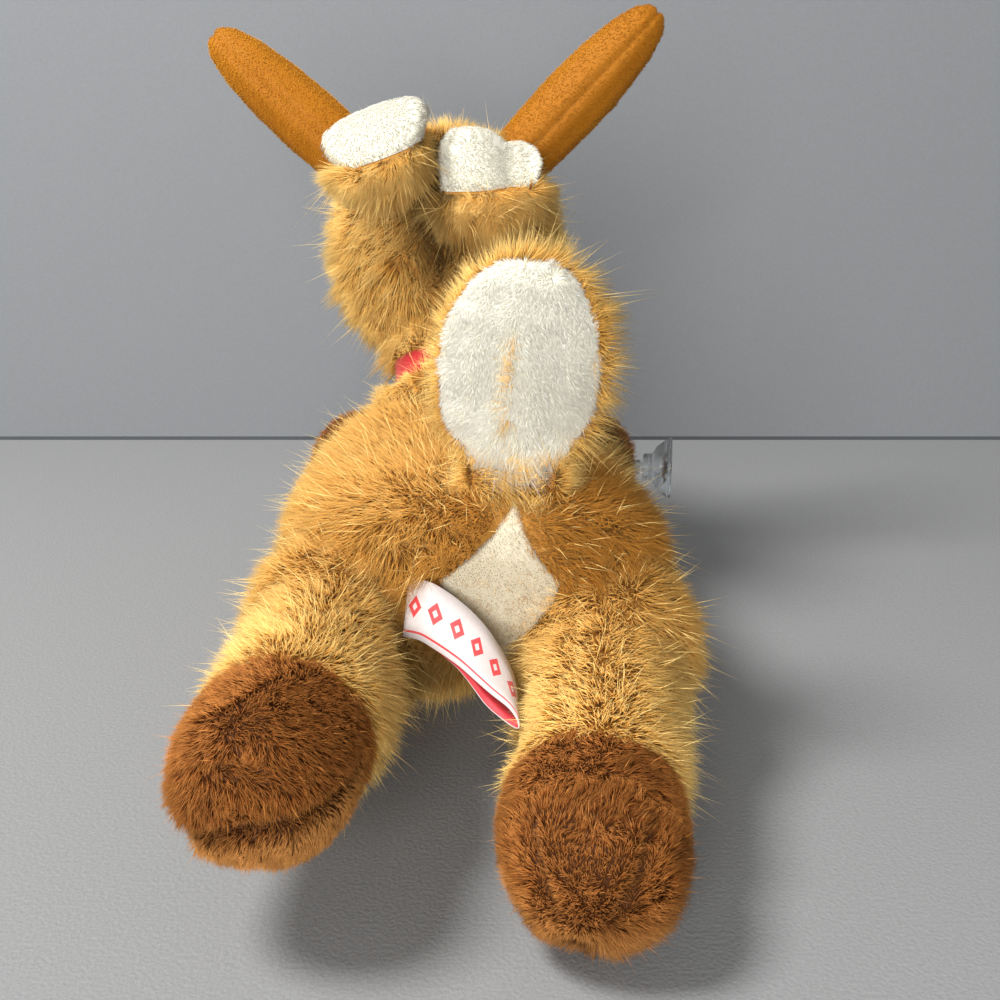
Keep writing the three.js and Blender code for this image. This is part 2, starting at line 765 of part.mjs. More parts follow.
function tailLeaf(inset) {
  const middleShare = 0.5;
  const lengthShare = 1 - (2 * inset) / tailLength;
  const rings = tailShares.map(([along, width, thick]) => oval(
    new THREE.Vector3(tailSlant * along, 0, tailLength * (middleShare + (along - middleShare) * lengthShare)),
    axisX, axisY, tailHalfWidth * width - inset, tailHalfThickness * thick - inset, padSides));
  return solidOf(loft(rings));
}

function addTail() {
  const root = rollAlongX([0, 0, 0], tailRootRadius, tailRootHalfLength);
  const front = block([-2 * tailHalfWidth, -cutOverrun, tailRootRadius],
    [2 * tailHalfWidth, 0, 2 * tailLength]);
  const frontRoom = block([-2 * tailHalfWidth, -cutOverrun, tailRootRadius - seamGap],
    [2 * tailHalfWidth, seamGap, 2 * tailLength]);
  const outer = join(tailLeaf(0), root);
  const hollow = tailLeaf(skinWall);
  const move = placed(tailPlace).elements;
  addPiece("tail_back", cut(outer, hollow, frontRoom).transform(move), "plush");
  addPiece("tail_lining", cut(tailLeaf(0), hollow).intersect(front).transform(move), "whitePlush");
  addPiece("tail_stuffing", tailLeaf(skinWall + fitGap).transform(move), "stuffing");
}

// Legs: half a ball, the limb and the hoof, revolved about local +Y
const limbShares = [
  [0.30, "limb", 0.98],
  [0.42, "limb", 0.97],
  [0.52, "limb", 1.0],
  [0.63, "hoof", 0.95],
  [0.74, "hoof", 1.0],
  [0.85, "hoof", 0.97],
  [0.93, "hoof", 0.82],
  [0.975, "hoof", 0.56],
  [0.996, "hoof", 0.22],
];
const cupAlongShare = 0.74;

// The cup's outer wall and its hollow, as shares of its radius and reach
const cupWallShares = [[0.7, 0.59], [0.93, 0.836]];
const cupHollowShares = [[0.7, 0.887], [0.35, 0.815]];

function legBody(size, inset, matrix) {
  const profile = [];
  const radius = size.ball - inset;
  const lastAngle = Math.acos((size.limb - inset) / radius);
  for (let ring = 0; ring <= ballRings + 1; ring++) {
    const angle = -Math.PI / 2 + (ring / (ballRings + 1)) * (lastAngle + Math.PI / 2);
    profile.push([ring ? radius * Math.cos(angle) : 0, radius * Math.sin(angle)]);
  }
  limbShares.forEach(([along, kind, share]) => {
    profile.push([size[kind] * share - inset, (size.length - inset) * along]);
  });
  profile.push([0, size.length - inset]);
  return revolve(profile, inset > 0 ? legCoreSides : legSides, matrix);
}

function legMatrix(leg) {
  const [heading, rise, roll] = leg.turns.map(radians);
  const turn = new THREE.Matrix4().makeRotationZ(heading)
    .multiply(new THREE.Matrix4().makeRotationX(rise))
    .multiply(new THREE.Matrix4().makeRotationY(roll));
  return placed(leg.hip, turn);
}

function cupProfile() {
  const buttonOut = -skinWall - cupButtonSink;
  const scaled = (shares) => shares.map(([out, reach]) => [cupRadius * out, cupReach * reach]);
  return [
    [0, buttonOut - cupButtonThickness],
    [cupButtonRadius, buttonOut - cupButtonThickness],
    [cupButtonRadius, buttonOut],
    [cupNeckRadius, buttonOut],
    [cupNeckRadius, cupNeckReach],
    [cupBossRadius, cupNeckReach],
    [cupBossRadius, cupBossReach],
    ...scaled(cupWallShares),
    [cupRadius, cupReach - cupRim],
    [cupRadius, cupReach],
    [cupRadius - cupRim, cupReach],
    ...scaled(cupHollowShares),
    [0, cupReach - cupHollow],
  ];
}

function addLeg(leg) {
  const { size } = leg;
  const matrix = legMatrix(leg);
  const wide = 2 * size.ball;
  const shell = cut(legBody(size, 0, matrix), legBody(size, skinWall, matrix));
  const below = block([-wide, -wide, -wide], [wide, size.seam, wide]).transform(matrix.elements);
  const belowRoom = block([-wide, -wide, -wide], [wide, size.seam + seamGap, wide])
    .transform(matrix.elements);
  const sole = block([-wide, size.seam, -wide], [wide, 2 * size.length, -size.soleDrop])
    .transform(matrix.elements);
  const soleRoom = block([-wide, size.seam, -wide], [wide, 2 * size.length, seamGap - size.soleDrop])
    .transform(matrix.elements);
  let filling = legBody(size, skinWall + fitGap, matrix);
  let hoof = cut(shell, belowRoom);
  if (leg.cup) {
    const cupTurn = new THREE.Matrix4().makeRotationX(-Math.PI / 2);
    const cupMatrix = matrix.clone()
      .multiply(placed([0, size.length * cupAlongShare, -size.hoof], cupTurn));
    const cup = revolve(cupProfile(), cupSides, cupMatrix);
    hoof = cut(hoof, disc(cupNeckRadius + fitGap, cutOverrun, -size.hoof / 2, cupMatrix));
    const buttonEnd = -skinWall - cupButtonSink - cupButtonThickness - fitGap;
    filling = cut(filling, disc(cupButtonRadius + fitGap, 0, buttonEnd, cupMatrix));
    addPiece(`${leg.name}_suction_cup`, cup, "clearVinyl");
  }
  addPiece(`${leg.name}_skin`, shell.intersect(below), "plush");
  addPiece(`${leg.name}_hoof`, cut(hoof, soleRoom), "hoofPlush");
  addPiece(`${leg.name}_sole`, hoof.intersect(sole), "hoofPlush");
  addPiece(`${leg.name}_stuffing`, filling, "stuffing");
}

// Label: a tape folded into a loop, sewn into the gusset's left seam. Each row is a place on
// the route as shares of its reach, the tape's width direction there, and the loop's opening
const labelShares = [
  [[0, 0, 0], [0.1, 0.34, 0.93], 0.15],
  [[0.11, -0.10, 0.03], [0.15, 0.38, 0.91], 0.2],
  [[0.22, -0.16, -0.02], [0.2, 0.62, 0.75], 0.25],
  [[0.32, -0.22, -0.08], [0.24, 0.77, 0.58], 0.4],
  [[0.40, -0.29, -0.15], [0.23, 0.85, 0.46], 0.7],
  [[0.47, -0.36, -0.23], [0.15, 0.94, 0.32], 1.0],
  [[0.515, -0.43, -0.28], [0.04, 0.99, 0.16], 0.95],
  [[0.545, -0.49, -0.33], [-0.03, 1.0, 0.05], 0.55],
];

function addLabel() {
  const seat = vector(torsoPlace(labelSeatShares));
  const middles = labelShares.map(([share]) => vector(share).multiplyScalar(labelReach).add(seat));
  const ways = labelShares.map(([, way]) => vector(way).normalize());
  const sides = middles.map((point, i) => {
    const before = middles[Math.max(i - 1, 0)];
    const after = middles[Math.min(i + 1, middles.length - 1)];
    const out = ways[i].clone().cross(after.clone().sub(before)).normalize();
    return [-1, 0, 1].map((side) => point.clone()
      .addScaledVector(out, side * labelShares[i][2] * (labelLoopGap / 2)));
  });
  const front = sides.map(([near]) => near);
  const back = sides.map(([, , far]) => far).reverse();
  const last = middles.length - 1;
  const tipWay = middles[last].clone().sub(middles[last - 1]).normalize();
  const fold = middles[last].clone().addScaledVector(tipWay, labelLoopGap / 2);
  const route = [...front, fold, ...back];
  const widthWays = [...ways, ways[last], ...[...ways].reverse()];
  addPiece("care_label", ribbonSolid(route, widthWays, labelWidth, labelThickness), "labelTape");
}

addTorso();
addHead();
addEars();
addAntlers();
addNeckRibbon();
addTail();
legs.forEach(addLeg);
addLabel();

export default deer;
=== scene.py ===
import json
import math

import bmesh
import bpy
import numpy as np
from mathutils import Matrix, Vector
from mathutils.bvhtree import BVHTree
from mathutils.kdtree import KDTree


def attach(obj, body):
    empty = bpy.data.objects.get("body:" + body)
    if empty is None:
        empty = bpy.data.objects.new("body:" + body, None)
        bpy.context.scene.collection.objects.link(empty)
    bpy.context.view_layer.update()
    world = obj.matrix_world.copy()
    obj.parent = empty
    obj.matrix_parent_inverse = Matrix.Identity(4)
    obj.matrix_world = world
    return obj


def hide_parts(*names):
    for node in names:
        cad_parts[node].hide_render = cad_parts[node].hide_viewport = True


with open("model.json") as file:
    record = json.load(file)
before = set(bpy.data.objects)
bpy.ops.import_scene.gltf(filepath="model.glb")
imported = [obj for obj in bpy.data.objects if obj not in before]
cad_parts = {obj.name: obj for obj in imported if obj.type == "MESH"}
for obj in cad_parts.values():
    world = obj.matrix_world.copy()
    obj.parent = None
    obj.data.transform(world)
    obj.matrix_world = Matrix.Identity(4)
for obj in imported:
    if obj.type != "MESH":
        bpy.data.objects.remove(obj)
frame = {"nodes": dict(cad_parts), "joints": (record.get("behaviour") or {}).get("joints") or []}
nodes = frame["nodes"]
joints = {joint["name"]: joint for joint in frame["joints"]}
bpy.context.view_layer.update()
mm = 0.001

# The camera stands at the toy's tail end and looks down along its back.
scene = bpy.context.scene


def placed(name, data):
    thing = bpy.data.objects.new(name, data)
    scene.collection.objects.link(thing)
    return thing


camera = placed("camera", bpy.data.cameras.new("camera"))
camera.data.lens = 43.2
camera.data.sensor_width = 36.0
camera.data.clip_start = 0.02
camera.location = (5 * mm, -490 * mm, 250 * mm)
camera.rotation_euler = (math.radians(70), 0, 0)
scene.camera = camera

# The room: a table covered in grey felt, and a grey wall close behind it, with a dark strip of
# painted shade at the wall's foot where they meet. The wall shows from its front only, so that the
# toy can be seen from behind as well.
table_edge = 322 * mm
room_half = 4
table_grey, wall_grey, corner_shade_grey = (0.277, 0.279, 0.277), (0.205, 0.212, 0.220), (0.07, 0.075, 0.08)


def mesh_from(bm, name):
    mesh = bpy.data.meshes.new(name)
    bm.to_mesh(mesh)
    bm.free()
    return mesh


def finish_of(name, settings):
    """A new material with its shader's plain settings."""
    material = bpy.data.materials.new(name)
    material.use_nodes = True
    for title, value in settings.items():
        material.node_tree.nodes["Principled BSDF"].inputs[title].default_value = value
    return material


def grain_of(tree, scale, detail=2.0):
    """A noise that stays put on the object."""
    place = tree.nodes.new("ShaderNodeTexCoord")
    noise = tree.nodes.new("ShaderNodeTexNoise")
    noise.inputs["Scale"].default_value = scale
    noise.inputs["Detail"].default_value = detail
    tree.links.new(place.outputs["Object"], noise.inputs["Vector"])
    return noise.outputs["Fac"]


def two_tone(tree, factor, low, high, start=0.0, end=1.0):
    """Colours the shader from one shade to another by a factor."""
    tones = tree.nodes.new("ShaderNodeValToRGB")
    for point, place, colour in zip(tones.color_ramp.elements, (start, end), (low, high)):
        point.position = place
        point.color = (*colour, 1)
    tree.links.new(factor, tones.inputs["Fac"])
    tree.links.new(tones.outputs["Color"], tree.nodes["Principled BSDF"].inputs["Base Color"])
    return tones.outputs["Color"]


def relief_of(tree, height, strength, distance):
    bump = tree.nodes.new("ShaderNodeBump")
    bump.inputs["Strength"].default_value = strength
    bump.inputs["Distance"].default_value = distance
    tree.links.new(height, bump.inputs["Height"])
    tree.links.new(bump.outputs["Normal"], tree.nodes["Principled BSDF"].inputs["Normal"])


def stage_sheet(name, corners, colour, grain, relief=0.0):
    bm = bmesh.new()
    bm.faces.new([bm.verts.new(corner) for corner in corners])
    sheet = placed(name, mesh_from(bm, name))
    finish = finish_of(name, {"Roughness": 0.85})
    tree = finish.node_tree
    weave = grain_of(tree, grain, detail=4)
    two_tone(tree, weave, [c * 0.94 for c in colour], [c * 1.06 for c in colour], start=0.3, end=0.7)
    relief_of(tree, weave, 0.6, relief)
    sheet.data.materials.append(finish)
    return sheet, tree


stage_sheet("table_top", [(-room_half, -room_half, 0), (room_half, -room_half, 0),
                          (room_half, room_half, 0), (-room_half, room_half, 0)],
            table_grey, 700, relief=0.5 * mm)
# The wall's foot is a thin dark strip of painted shade, where the wall meets the table.
for title, place, high, colour in (("wall", table_edge, room_half, wall_grey),
                                   ("wall_foot_shade", table_edge - 1 * mm, 2.6 * mm, corner_shade_grey)):
    corners = [(-room_half, place, 0), (room_half, place, 0),
               (room_half, place, high), (-room_half, place, high)]
    wall, tree = stage_sheet(title, corners, colour, 1200)
    wall.visible_shadow = False
    wall.visible_diffuse = False
    side = tree.nodes.new("ShaderNodeNewGeometry")
    unseen = tree.nodes.new("ShaderNodeBsdfTransparent")
    either = tree.nodes.new("ShaderNodeMixShader")
    tree.links.new(side.outputs["Backfacing"], either.inputs["Fac"])
    tree.links.new(tree.nodes["Principled BSDF"].outputs["BSDF"], either.inputs[1])
    tree.links.new(unseen.outputs["BSDF"], either.inputs[2])
    tree.links.new(either.outputs["Shader"], tree.nodes["Material Output"].inputs["Surface"])

# Plain soft light: a lamp high on the left, a wide one in front, a weak one on the right, and the
# room's own.
scene.view_settings.view_transform = "Standard"
world = bpy.data.worlds.new("room")
scene.world = world
world.use_nodes = True
world.node_tree.nodes["Background"].inputs["Color"].default_value = (0.97, 0.985, 1.0, 1)
world.node_tree.nodes["Background"].inputs["Strength"].default_value = 0.29
lamp_aim = Vector((0, -0.05, 0.1))


def lamp(name, place, size, watts):
    light = bpy.data.lights.new(name, "AREA")
    light.shape = "DISK"
    light.size = size
    light.energy = watts
    holder = placed(name, light)
    holder.location = place
    holder.rotation_euler = (lamp_aim - Vector(place)).to_track_quat("-Z", "Y").to_euler()


lamp("lamp_left", (-0.7, -0.3, 1.25), 0.45, 22)
lamp("lamp_front", (-0.4, -2.2, 0.6), 1.4, 52)
lamp("lamp_right", (1.1, -0.6, 0.8), 0.9, 0.6)

# Torso: two plush panels sewn round loose fibre, in long tan pile. Its form is the packed
# skin and stuffing taken as one body, smoothed and set in a little to make room for the pile.


def form(name, pieces, voxel=2.5 * mm, smoothing=6, inset=0.4 * mm):
    """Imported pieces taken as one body, smoothed, and set in by a little."""
    bm = bmesh.new()
    for piece in pieces:
        bm.from_mesh(nodes[piece].data)
    bmesh.ops.remove_doubles(bm, verts=bm.verts, dist=0.001 * mm)
    holder = placed(name, mesh_from(bm, name))
    remesh = holder.modifiers.new("remesh", "REMESH")
    remesh.mode = "VOXEL"
    remesh.voxel_size = voxel
    ease = holder.modifiers.new("ease", "SMOOTH")
    ease.factor = 0.5
    ease.iterations = smoothing
    evaluated = holder.evaluated_get(bpy.context.evaluated_depsgraph_get())
    mesh = bpy.data.meshes.new_from_object(evaluated)
    bpy.data.objects.remove(holder)
    bm = bmesh.new()
    bm.from_mesh(mesh)
    keep_largest(bm)
    bm.normal_update()
    for vert in bm.verts:
        vert.co -= vert.normal * inset
    bm.to_mesh(mesh)
    bm.free()
    mesh.name = name
    mesh.materials.clear()
    return mesh


def keep_largest(bm):
    """Drops the loose shells that the stuffing leaves inside."""
    left = set(bm.verts)
    islands = []
    while left:
        island = {left.pop()}
        edge = list(island)
        while edge:
            vert = edge.pop()
            for link in vert.link_edges:
                other = link.other_vert(vert)
                if other not in island:
                    island.add(other)
                    edge.append(other)
        left -= island
        islands.append(island)
    islands.sort(key=len)
    spare = [vert for island in islands[:-1] for vert in island]
    bmesh.ops.delete(bm, geom=spare, context="VERTS")


def sculpt(mesh, move, eased=0):
    """Pushes a form's surface in or out along its normals by what move gives, then eases it."""
    bm = bmesh.new()
    bm.from_mesh(mesh)
    bm.normal_update()
    places = np.array([vert.co for vert in bm.verts])
    pushes = move(places, np.array([vert.normal for vert in bm.verts]))
    for vert, push in zip(bm.verts, pushes):
        vert.co += vert.normal * float(push)
    for _ in range(eased):
        bmesh.ops.smooth_vert(bm, verts=bm.verts, factor=0.5, use_axis_x=True, use_axis_y=True,
                              use_axis_z=True)
    bm.to_mesh(mesh)
    bm.free()
    mesh.update()


def cloth_piece(name, mesh, material, body, slot, *replaced):
    piece = placed(name, mesh)
    mesh.materials.append(material)
    mesh.shade_smooth()
    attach(piece, body)
    if replaced:
        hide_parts(*replaced)
    return piece


def fibre_shape():
    """One fibre of the pile: a three-sided spike, one unit tall."""
    bm = bmesh.new()
    bmesh.ops.create_circle(bm, cap_ends=True, segments=3, radius=1.0)
    top = bmesh.ops.extrude_face_region(bm, geom=bm.faces[:])["geom"]
    verts = [item for item in top if isinstance(item, bmesh.types.BMVert)]
    bmesh.ops.translate(bm, verts=verts, vec=(0, 0, 1))
    bmesh.ops.pointmerge(bm, verts=verts, merge_co=(0, 0, 1))
    bmesh.ops.recalc_face_normals(bm, faces=bm.faces)
    bm.verts.index_update()
    points = np.array([vert.co for vert in bm.verts])
    faces = [[vert.index for vert in face.verts] for face in bm.faces]
    bm.free()
    return points, faces


def surface_points(mesh, count, rng):
    """Places spread evenly over a mesh, and the way out of it at each."""
    mesh.calc_loop_triangles()
    corners = np.array([tri.vertices for tri in mesh.loop_triangles])
    places = np.array([vert.co for vert in mesh.vertices])
    normals = np.array([vert.normal for vert in mesh.vertices])
    a, b, c = (places[corners[:, i]] for i in range(3))
    areas = np.linalg.norm(np.cross(b - a, c - a), axis=1) / 2
    chosen = rng.choice(len(areas), count, p=areas / areas.sum())
    u, v = rng.random((2, count))
    fold = u + v > 1
    u[fold], v[fold] = 1 - u[fold], 1 - v[fold]
    share = np.stack([1 - u - v, u, v], 1)
    roots = (places[corners[chosen]] * share[:, :, None]).sum(1)
    outs = (normals[corners[chosen]] * share[:, :, None]).sum(1)
    return roots, unit(outs)


def swirl(points, wavelength, rng):
    """A smooth random drift of direction from place to place."""
    waves = rng.normal(size=(8, 3))
    waves *= (2 * math.pi / wavelength) / np.linalg.norm(waves, axis=1)[:, None]
    waves *= rng.uniform(0.7, 1.4, (8, 1))
    swing = np.sin(points @ waves.T + rng.uniform(0, 2 * math.pi, 8))
    return swing @ rng.normal(size=(8, 3)) / 3


def unit(vectors):
    return vectors / np.maximum(np.linalg.norm(vectors, axis=1), 1e-9)[:, None]


def ramp(values, start, end):
    """An eased step from 0 at start to 1 at end."""
    share = np.clip((values - start) / (end - start), 0, 1)
    return share * share * (3 - 2 * share)


def bell(values):
    """1 at zero, falling off to 0 on both sides."""
    return np.exp(-(values ** 2))


def away_from(places, middle):
    return np.linalg.norm(places - middle, axis=1)


def tree_of(*meshes):
    verts, faces = [], []
    for mesh in meshes:
        faces += [[i + len(verts) for i in poly.vertices] for poly in mesh.polygons]
        verts += [vert.co for vert in mesh.vertices]
    return BVHTree.FromPolygons(verts, faces)


def above(points, tree, clearance):
    """How far each point has to move to lie clear of the neighbours' surface, and which way."""
    moves = np.zeros_like(points)
    for i, point in enumerate(points):
        place, normal, _, _ = tree.find_nearest(point, 30 * mm)
        if place is None:
            continue
        height = (Vector(point) - place).dot(normal)
        if height < clearance:
            moves[i] = normal * (clearance - height)
    return moves


def pile(name, mesh, body, material, slot, count, length, comb, seed, lean=0.42, width=0.3, tuft=26,
         gather=0.5, unruly=0.6, where=None, around=None, droop=0.12, zone=None, painted_shade=None, strays=0.012):
    """A pile of fibres over a form: comb gives the way they lie and length how long they are.

    They lean over by lean, are gathered into locks of tuft fibres by gather, and drift by unruly.
    Where one would start inside its neighbours it is left out, and its tip stays clear of them.
    """
    rng = np.random.default_rng(seed)
    roots, outs = surface_points(mesh, 3 * count if where is not None else count, rng)
    keep = np.ones(len(roots), bool) if where is None else where(roots, outs)
    roots, outs = roots[keep][:count], outs[keep][:count]
    if around is not None:
        buried = np.linalg.norm(above(roots + outs * 1.6 * mm, around, -0.8 * mm), axis=1) > 1e-9
        roots, outs = roots[~buried], outs[~buried]
    count = len(roots)
    flow = unit(comb(roots, outs))
    flow += unruly * swirl(roots, 11 * mm, rng) + 0.8 * unruly * swirl(roots, 32 * mm, rng)
    flow -= outs * (flow * outs).sum(1)[:, None]
    size = length(roots, outs) if callable(length) else np.full(count, length)
    stray = rng.random(count) < strays
    size = size * rng.uniform(0.72, 1.15, count) * np.where(stray, rng.uniform(1.3, 1.9, count), 1)
    leaning = lean * np.where(stray, 0.6, 1)[:, None]
    way = unit(outs * (1 - leaning) + unit(flow) * leaning + 0.17 * rng.normal(size=(count, 3)))
    tips = roots + way * size[:, None]
    tips[:, 2] -= droop * size
    leaders = np.arange(0, count, tuft)
    index = KDTree(len(leaders))
    for i in leaders:
        index.insert(roots[i], int(i))
    index.balance()
    nearest = np.array([index.find(root)[1] for root in roots])
    pull = gather * rng.uniform(0.1, 1.2, count) * ~stray
    tips += (tips[nearest] - tips) * pull[:, None]
    if around is not None:
        tips += above(tips, around, 1.2 * mm)
    tips[:, 2] = np.maximum(tips[:, 2], 0.3 * mm)
    points, faces = fibre_shape()
    across = unit(np.cross(tips - roots, rng.normal(size=(count, 3))))
    beside = unit(np.cross(tips - roots, across))
    thick = width * mm / 2 * rng.uniform(0.75, 1.25, count) * np.where(stray, 0.75, 1)
    along = points[:, 2]
    verts = np.zeros((count, len(points), 3))
    for i, (x, y, t) in enumerate(points):
        verts[:, i] = roots * (1 - t) + tips * t + (across * x + beside * y) * thick[:, None]
    verts[:, :, 2] = np.maximum(verts[:, :, 2], 0.05 * mm)
    made = bpy.data.meshes.new(name)
    corners = np.array([i for face in faces for i in face])
    starts = np.cumsum([0] + [len(face) for face in faces])[:-1]
    shift = np.arange(count)[:, None]
    made.vertices.add(count * len(points))
    made.vertices.foreach_set("co", verts.astype(np.float32).ravel())
    made.loops.add(count * len(corners))
    made.loops.foreach_set("vertex_index", (corners + shift * len(points)).astype(np.int32).ravel())
    made.polygons.add(count * len(faces))
    made.polygons.foreach_set("loop_start", (starts + shift * len(corners)).astype(np.int32).ravel())
    made.update(calc_edges=True)
    zones = np.zeros(count) if zone is None else zone(roots, outs)
    # Each fibre's painted shade, which darkens its colour in folds, creases and gaps.
    shade_amounts = np.zeros(count) if painted_shade is None else painted_shade(roots, outs)
    tint = np.where(stray, 1.0, rng.random(count) * 0.9)
    for title, values in (("along", np.tile(along, count)), ("tint", np.repeat(tint, len(points))),
                          ("zone", np.repeat(zones, len(points))),
                          ("painted_shade", np.repeat(shade_amounts, len(points)))):
        made.attributes.new(title, "FLOAT", "POINT").data.foreach_set("value", values.astype(np.float32))
    # Each fibre has a cell of its own on the map: a column for each side, and a corner for its foot.
    layer = made.uv_layers.new(name="OFBake")
    cells = math.ceil(math.sqrt(count))
    cell = []
    for face in faces:
        if along[face].max() <= 0:
            cell += [(0.05, 0.9), (0.2, 0.9), (0.12, 0.97)]
            continue
        middle = points[face].mean(0)
        column = int(((math.atan2(middle[1], middle[0]) / (2 * math.pi)) % 1) * 3 + 0.01) % 3
        turn = points[face][:, 1] * middle[0] - points[face][:, 0] * middle[1]
        for height, sidewise in zip(along[face], np.sign(np.round(turn, 6))):
            cell.append(((column + 0.5) / 3 + 0.12 * sidewise, 0.03 + 0.8 * height))
    origin = np.stack([shift[:, 0] % cells, shift[:, 0] // cells], 1)
    uv = (origin[:, None, :] + np.array(cell)[None, :, :]) / cells
    layer.data.foreach_set("uv", uv.astype(np.float32).ravel())
    return cloth_piece(name, made, material, body, slot)


def step_of(tree, operation, *values):
    """One step of arithmetic; each value is a number or another node's output."""
    node = tree.nodes.new("ShaderNodeMath")
    node.operation = operation
    for slot, value in enumerate(values):
        if isinstance(value, (int, float)):
            node.inputs[slot].default_value = value
        else:
            tree.links.new(value, node.inputs[slot])
    return node.outputs[0]


def pile_group():
    """A plush's colour: dark at a fibre's foot as painted shade deep in the pile, pale at its tip,
    drifting from fibre to fibre.

    It also drifts from place to place, can turn to a zone's colour, and is darkened by painted
    shade where a fold, crease or gap lies in shade.
    """
    group = bpy.data.node_groups.new("pile_colour", "ShaderNodeTree")
    for title in ("Foot", "Body", "Tip", "Patch", "Zone"):
        group.interface.new_socket(title, in_out="INPUT", socket_type="NodeSocketColor")
    for title in ("Patch Size", "Drift"):
        group.interface.new_socket(title, in_out="INPUT", socket_type="NodeSocketFloat")
    group.interface.new_socket("Colour", in_out="OUTPUT", socket_type="NodeSocketColor")
    add, link = group.nodes.new, group.links.new
    given, out = add("NodeGroupInput").outputs, add("NodeGroupOutput")

    def carried(title):
        node = add("ShaderNodeAttribute")
        node.attribute_name = title
        return node.outputs["Fac"]

    def share(value, start, end, low=0.0, high=1.0):
        node = add("ShaderNodeMapRange")
        for title, number in (("From Min", start), ("From Max", end), ("To Min", low), ("To Max", high)):
            node.inputs[title].default_value = number
        link(value, node.inputs["Value"])
        return node.outputs["Result"]

    def mixed(factor, first, second):
        node = add("ShaderNodeMix")
        node.data_type = "RGBA"
        link(factor, node.inputs["Factor"])
        link(first, node.inputs[6])
        link(second, node.inputs[7])
        return node.outputs[2]

    along, tint, zone, painted_shade = (carried(title) for title in ("along", "tint", "zone", "painted_shade"))
    place, patches = add("ShaderNodeTexCoord"), add("ShaderNodeTexNoise")
    patches.inputs["Detail"].default_value = 2
    link(place.outputs["Object"], patches.inputs["Vector"])
    link(given["Patch Size"], patches.inputs["Scale"])
    body = mixed(share(patches.outputs["Fac"], 0.42, 0.6), given["Body"], given["Patch"])
    lower = mixed(share(along, 0.0, 0.4), given["Foot"], mixed(zone, body, given["Zone"]))
    ends = mixed(step_of(group, "MULTIPLY", zone, 0.9), given["Tip"], given["Zone"])
    whole = mixed(share(along, 0.35, 1.0), lower, ends)
    value = step_of(group, "MULTIPLY_ADD", tint, given["Drift"],
                    step_of(group, "MULTIPLY_ADD", given["Drift"], -0.5, 1.0))
    shade = add("ShaderNodeHueSaturation")
    # Painted shade: the colour's value falls to 0.12 of itself at full shade.
    link(step_of(group, "MULTIPLY", value, share(painted_shade, 0.0, 1.0, 1.0, 0.12)), shade.inputs["Value"])
    link(mixed(share(tint, 0.92, 1.0), whole, given["Tip"]), shade.inputs["Color"])
    link(shade.outputs["Color"], out.inputs["Colour"])
    return group


pile_colour = pile_group()


def plush(name, foot, body, tip, patch, zone=None, patch_size=35.0, drift=0.4, sheen=0.3):
    material = finish_of(name, {
        "Roughness": 0.7, "Specular IOR Level": 0.2, "Sheen Weight": sheen, "Sheen Roughness": 0.4,
        "Sheen Tint": (*tip, 1)})
    tree = material.node_tree
    colour = tree.nodes.new("ShaderNodeGroup")
    colour.node_tree = pile_colour
    for title, value in (("Foot", foot), ("Body", body), ("Tip", tip), ("Patch", patch),
                         ("Zone", zone or body)):
        colour.inputs[title].default_value = (*value, 1)
    colour.inputs["Patch Size"].default_value = patch_size
    colour.inputs["Drift"].default_value = drift
    tree.links.new(colour.outputs["Colour"], tree.nodes["Principled BSDF"].inputs["Base Color"])
    return material


# The tan's darker foot colour is painted shade deep in the pile, and its zone colour, a darker tan, is
# painted shade where the torso and the nape lie in shade.
tan = plush("plush_tan", foot=(0.57, 0.265, 0.047), body=(0.85, 0.475, 0.097), tip=(0.93, 0.66, 0.24),
            patch=(0.75, 0.39, 0.065), zone=(0.48, 0.19, 0.017))
legs = ("hind_left", "hind_right", "front_left", "front_right")
torso_form = form("torso_plush", ["torso_skin", "torso_stuffing"])
leg_forms = {leg: form(f"{leg}_whole", [f"{leg}_{part}" for part in ("skin", "hoof", "sole", "stuffing")],
                       voxel=2 * mm) for leg in legs}
head_form = form("head_plush", ["head_skin", "head_stuffing"])
tail_form = form("tail_whole", ["tail_back", "tail_lining", "tail_stuffing"], voxel=1.8 * mm,
                 smoothing=4)
belly_form = form("belly_velour", ["belly_panel"], voxel=1.3 * mm, smoothing=3, inset=0.1 * mm)
near_torso = tree_of(*leg_forms.values(), head_form, tail_form, belly_form)


def gusset_middle(heights):
    """The gusset's middle, which leans to the right towards its tip."""
    return (5 + 5 * ramp(heights, 82 * mm, 108 * mm)) * mm


def beside_diamond(roots):
    """How far a place on the rump is outside the cream diamond's edge."""
    z = roots[:, 2] / mm
    half = np.where(z > 80, 20 * np.clip((108 - z) / 28, 0, 1), 8 + 12 * np.clip((z - 40) / 40, 0, 1))
    outside = np.abs(roots[:, 0] - gusset_middle(roots[:, 2])) - half * mm
    return np.where((roots[:, 1] < -85 * mm) & (z < 108), outside, 1.0)


def along_back(roots, outs):
    """Off the back and flanks the pile lies towards the tail and down, and away from the diamond."""
    flow = np.tile([0.0, -0.7, -0.45], (len(roots), 1))
    flow[:, 0] += 0.4 * np.sign(roots[:, 0]) * np.minimum(np.abs(roots[:, 0]) / (40 * mm), 1)
    near = 1 - ramp(beside_diamond(roots), 4 * mm, 22 * mm)
    flow[:, 0] += 1.6 * near * np.sign(roots[:, 0] - gusset_middle(roots[:, 2]))
    return flow


def torso_length(roots, outs):
    shoulder = ramp(roots[:, 1], 0, 40 * mm) * ramp(-roots[:, 0], 22 * mm, 42 * mm)
    tail_foot = bell(away_from(roots, np.array([10, -102, 112]) * mm) / (12 * mm))
    size = 12 + 5 * shoulder - 7 * (1 - ramp(beside_diamond(roots), 1 * mm, 10 * mm))
    return size * (1 - 0.6 * tail_foot) * mm


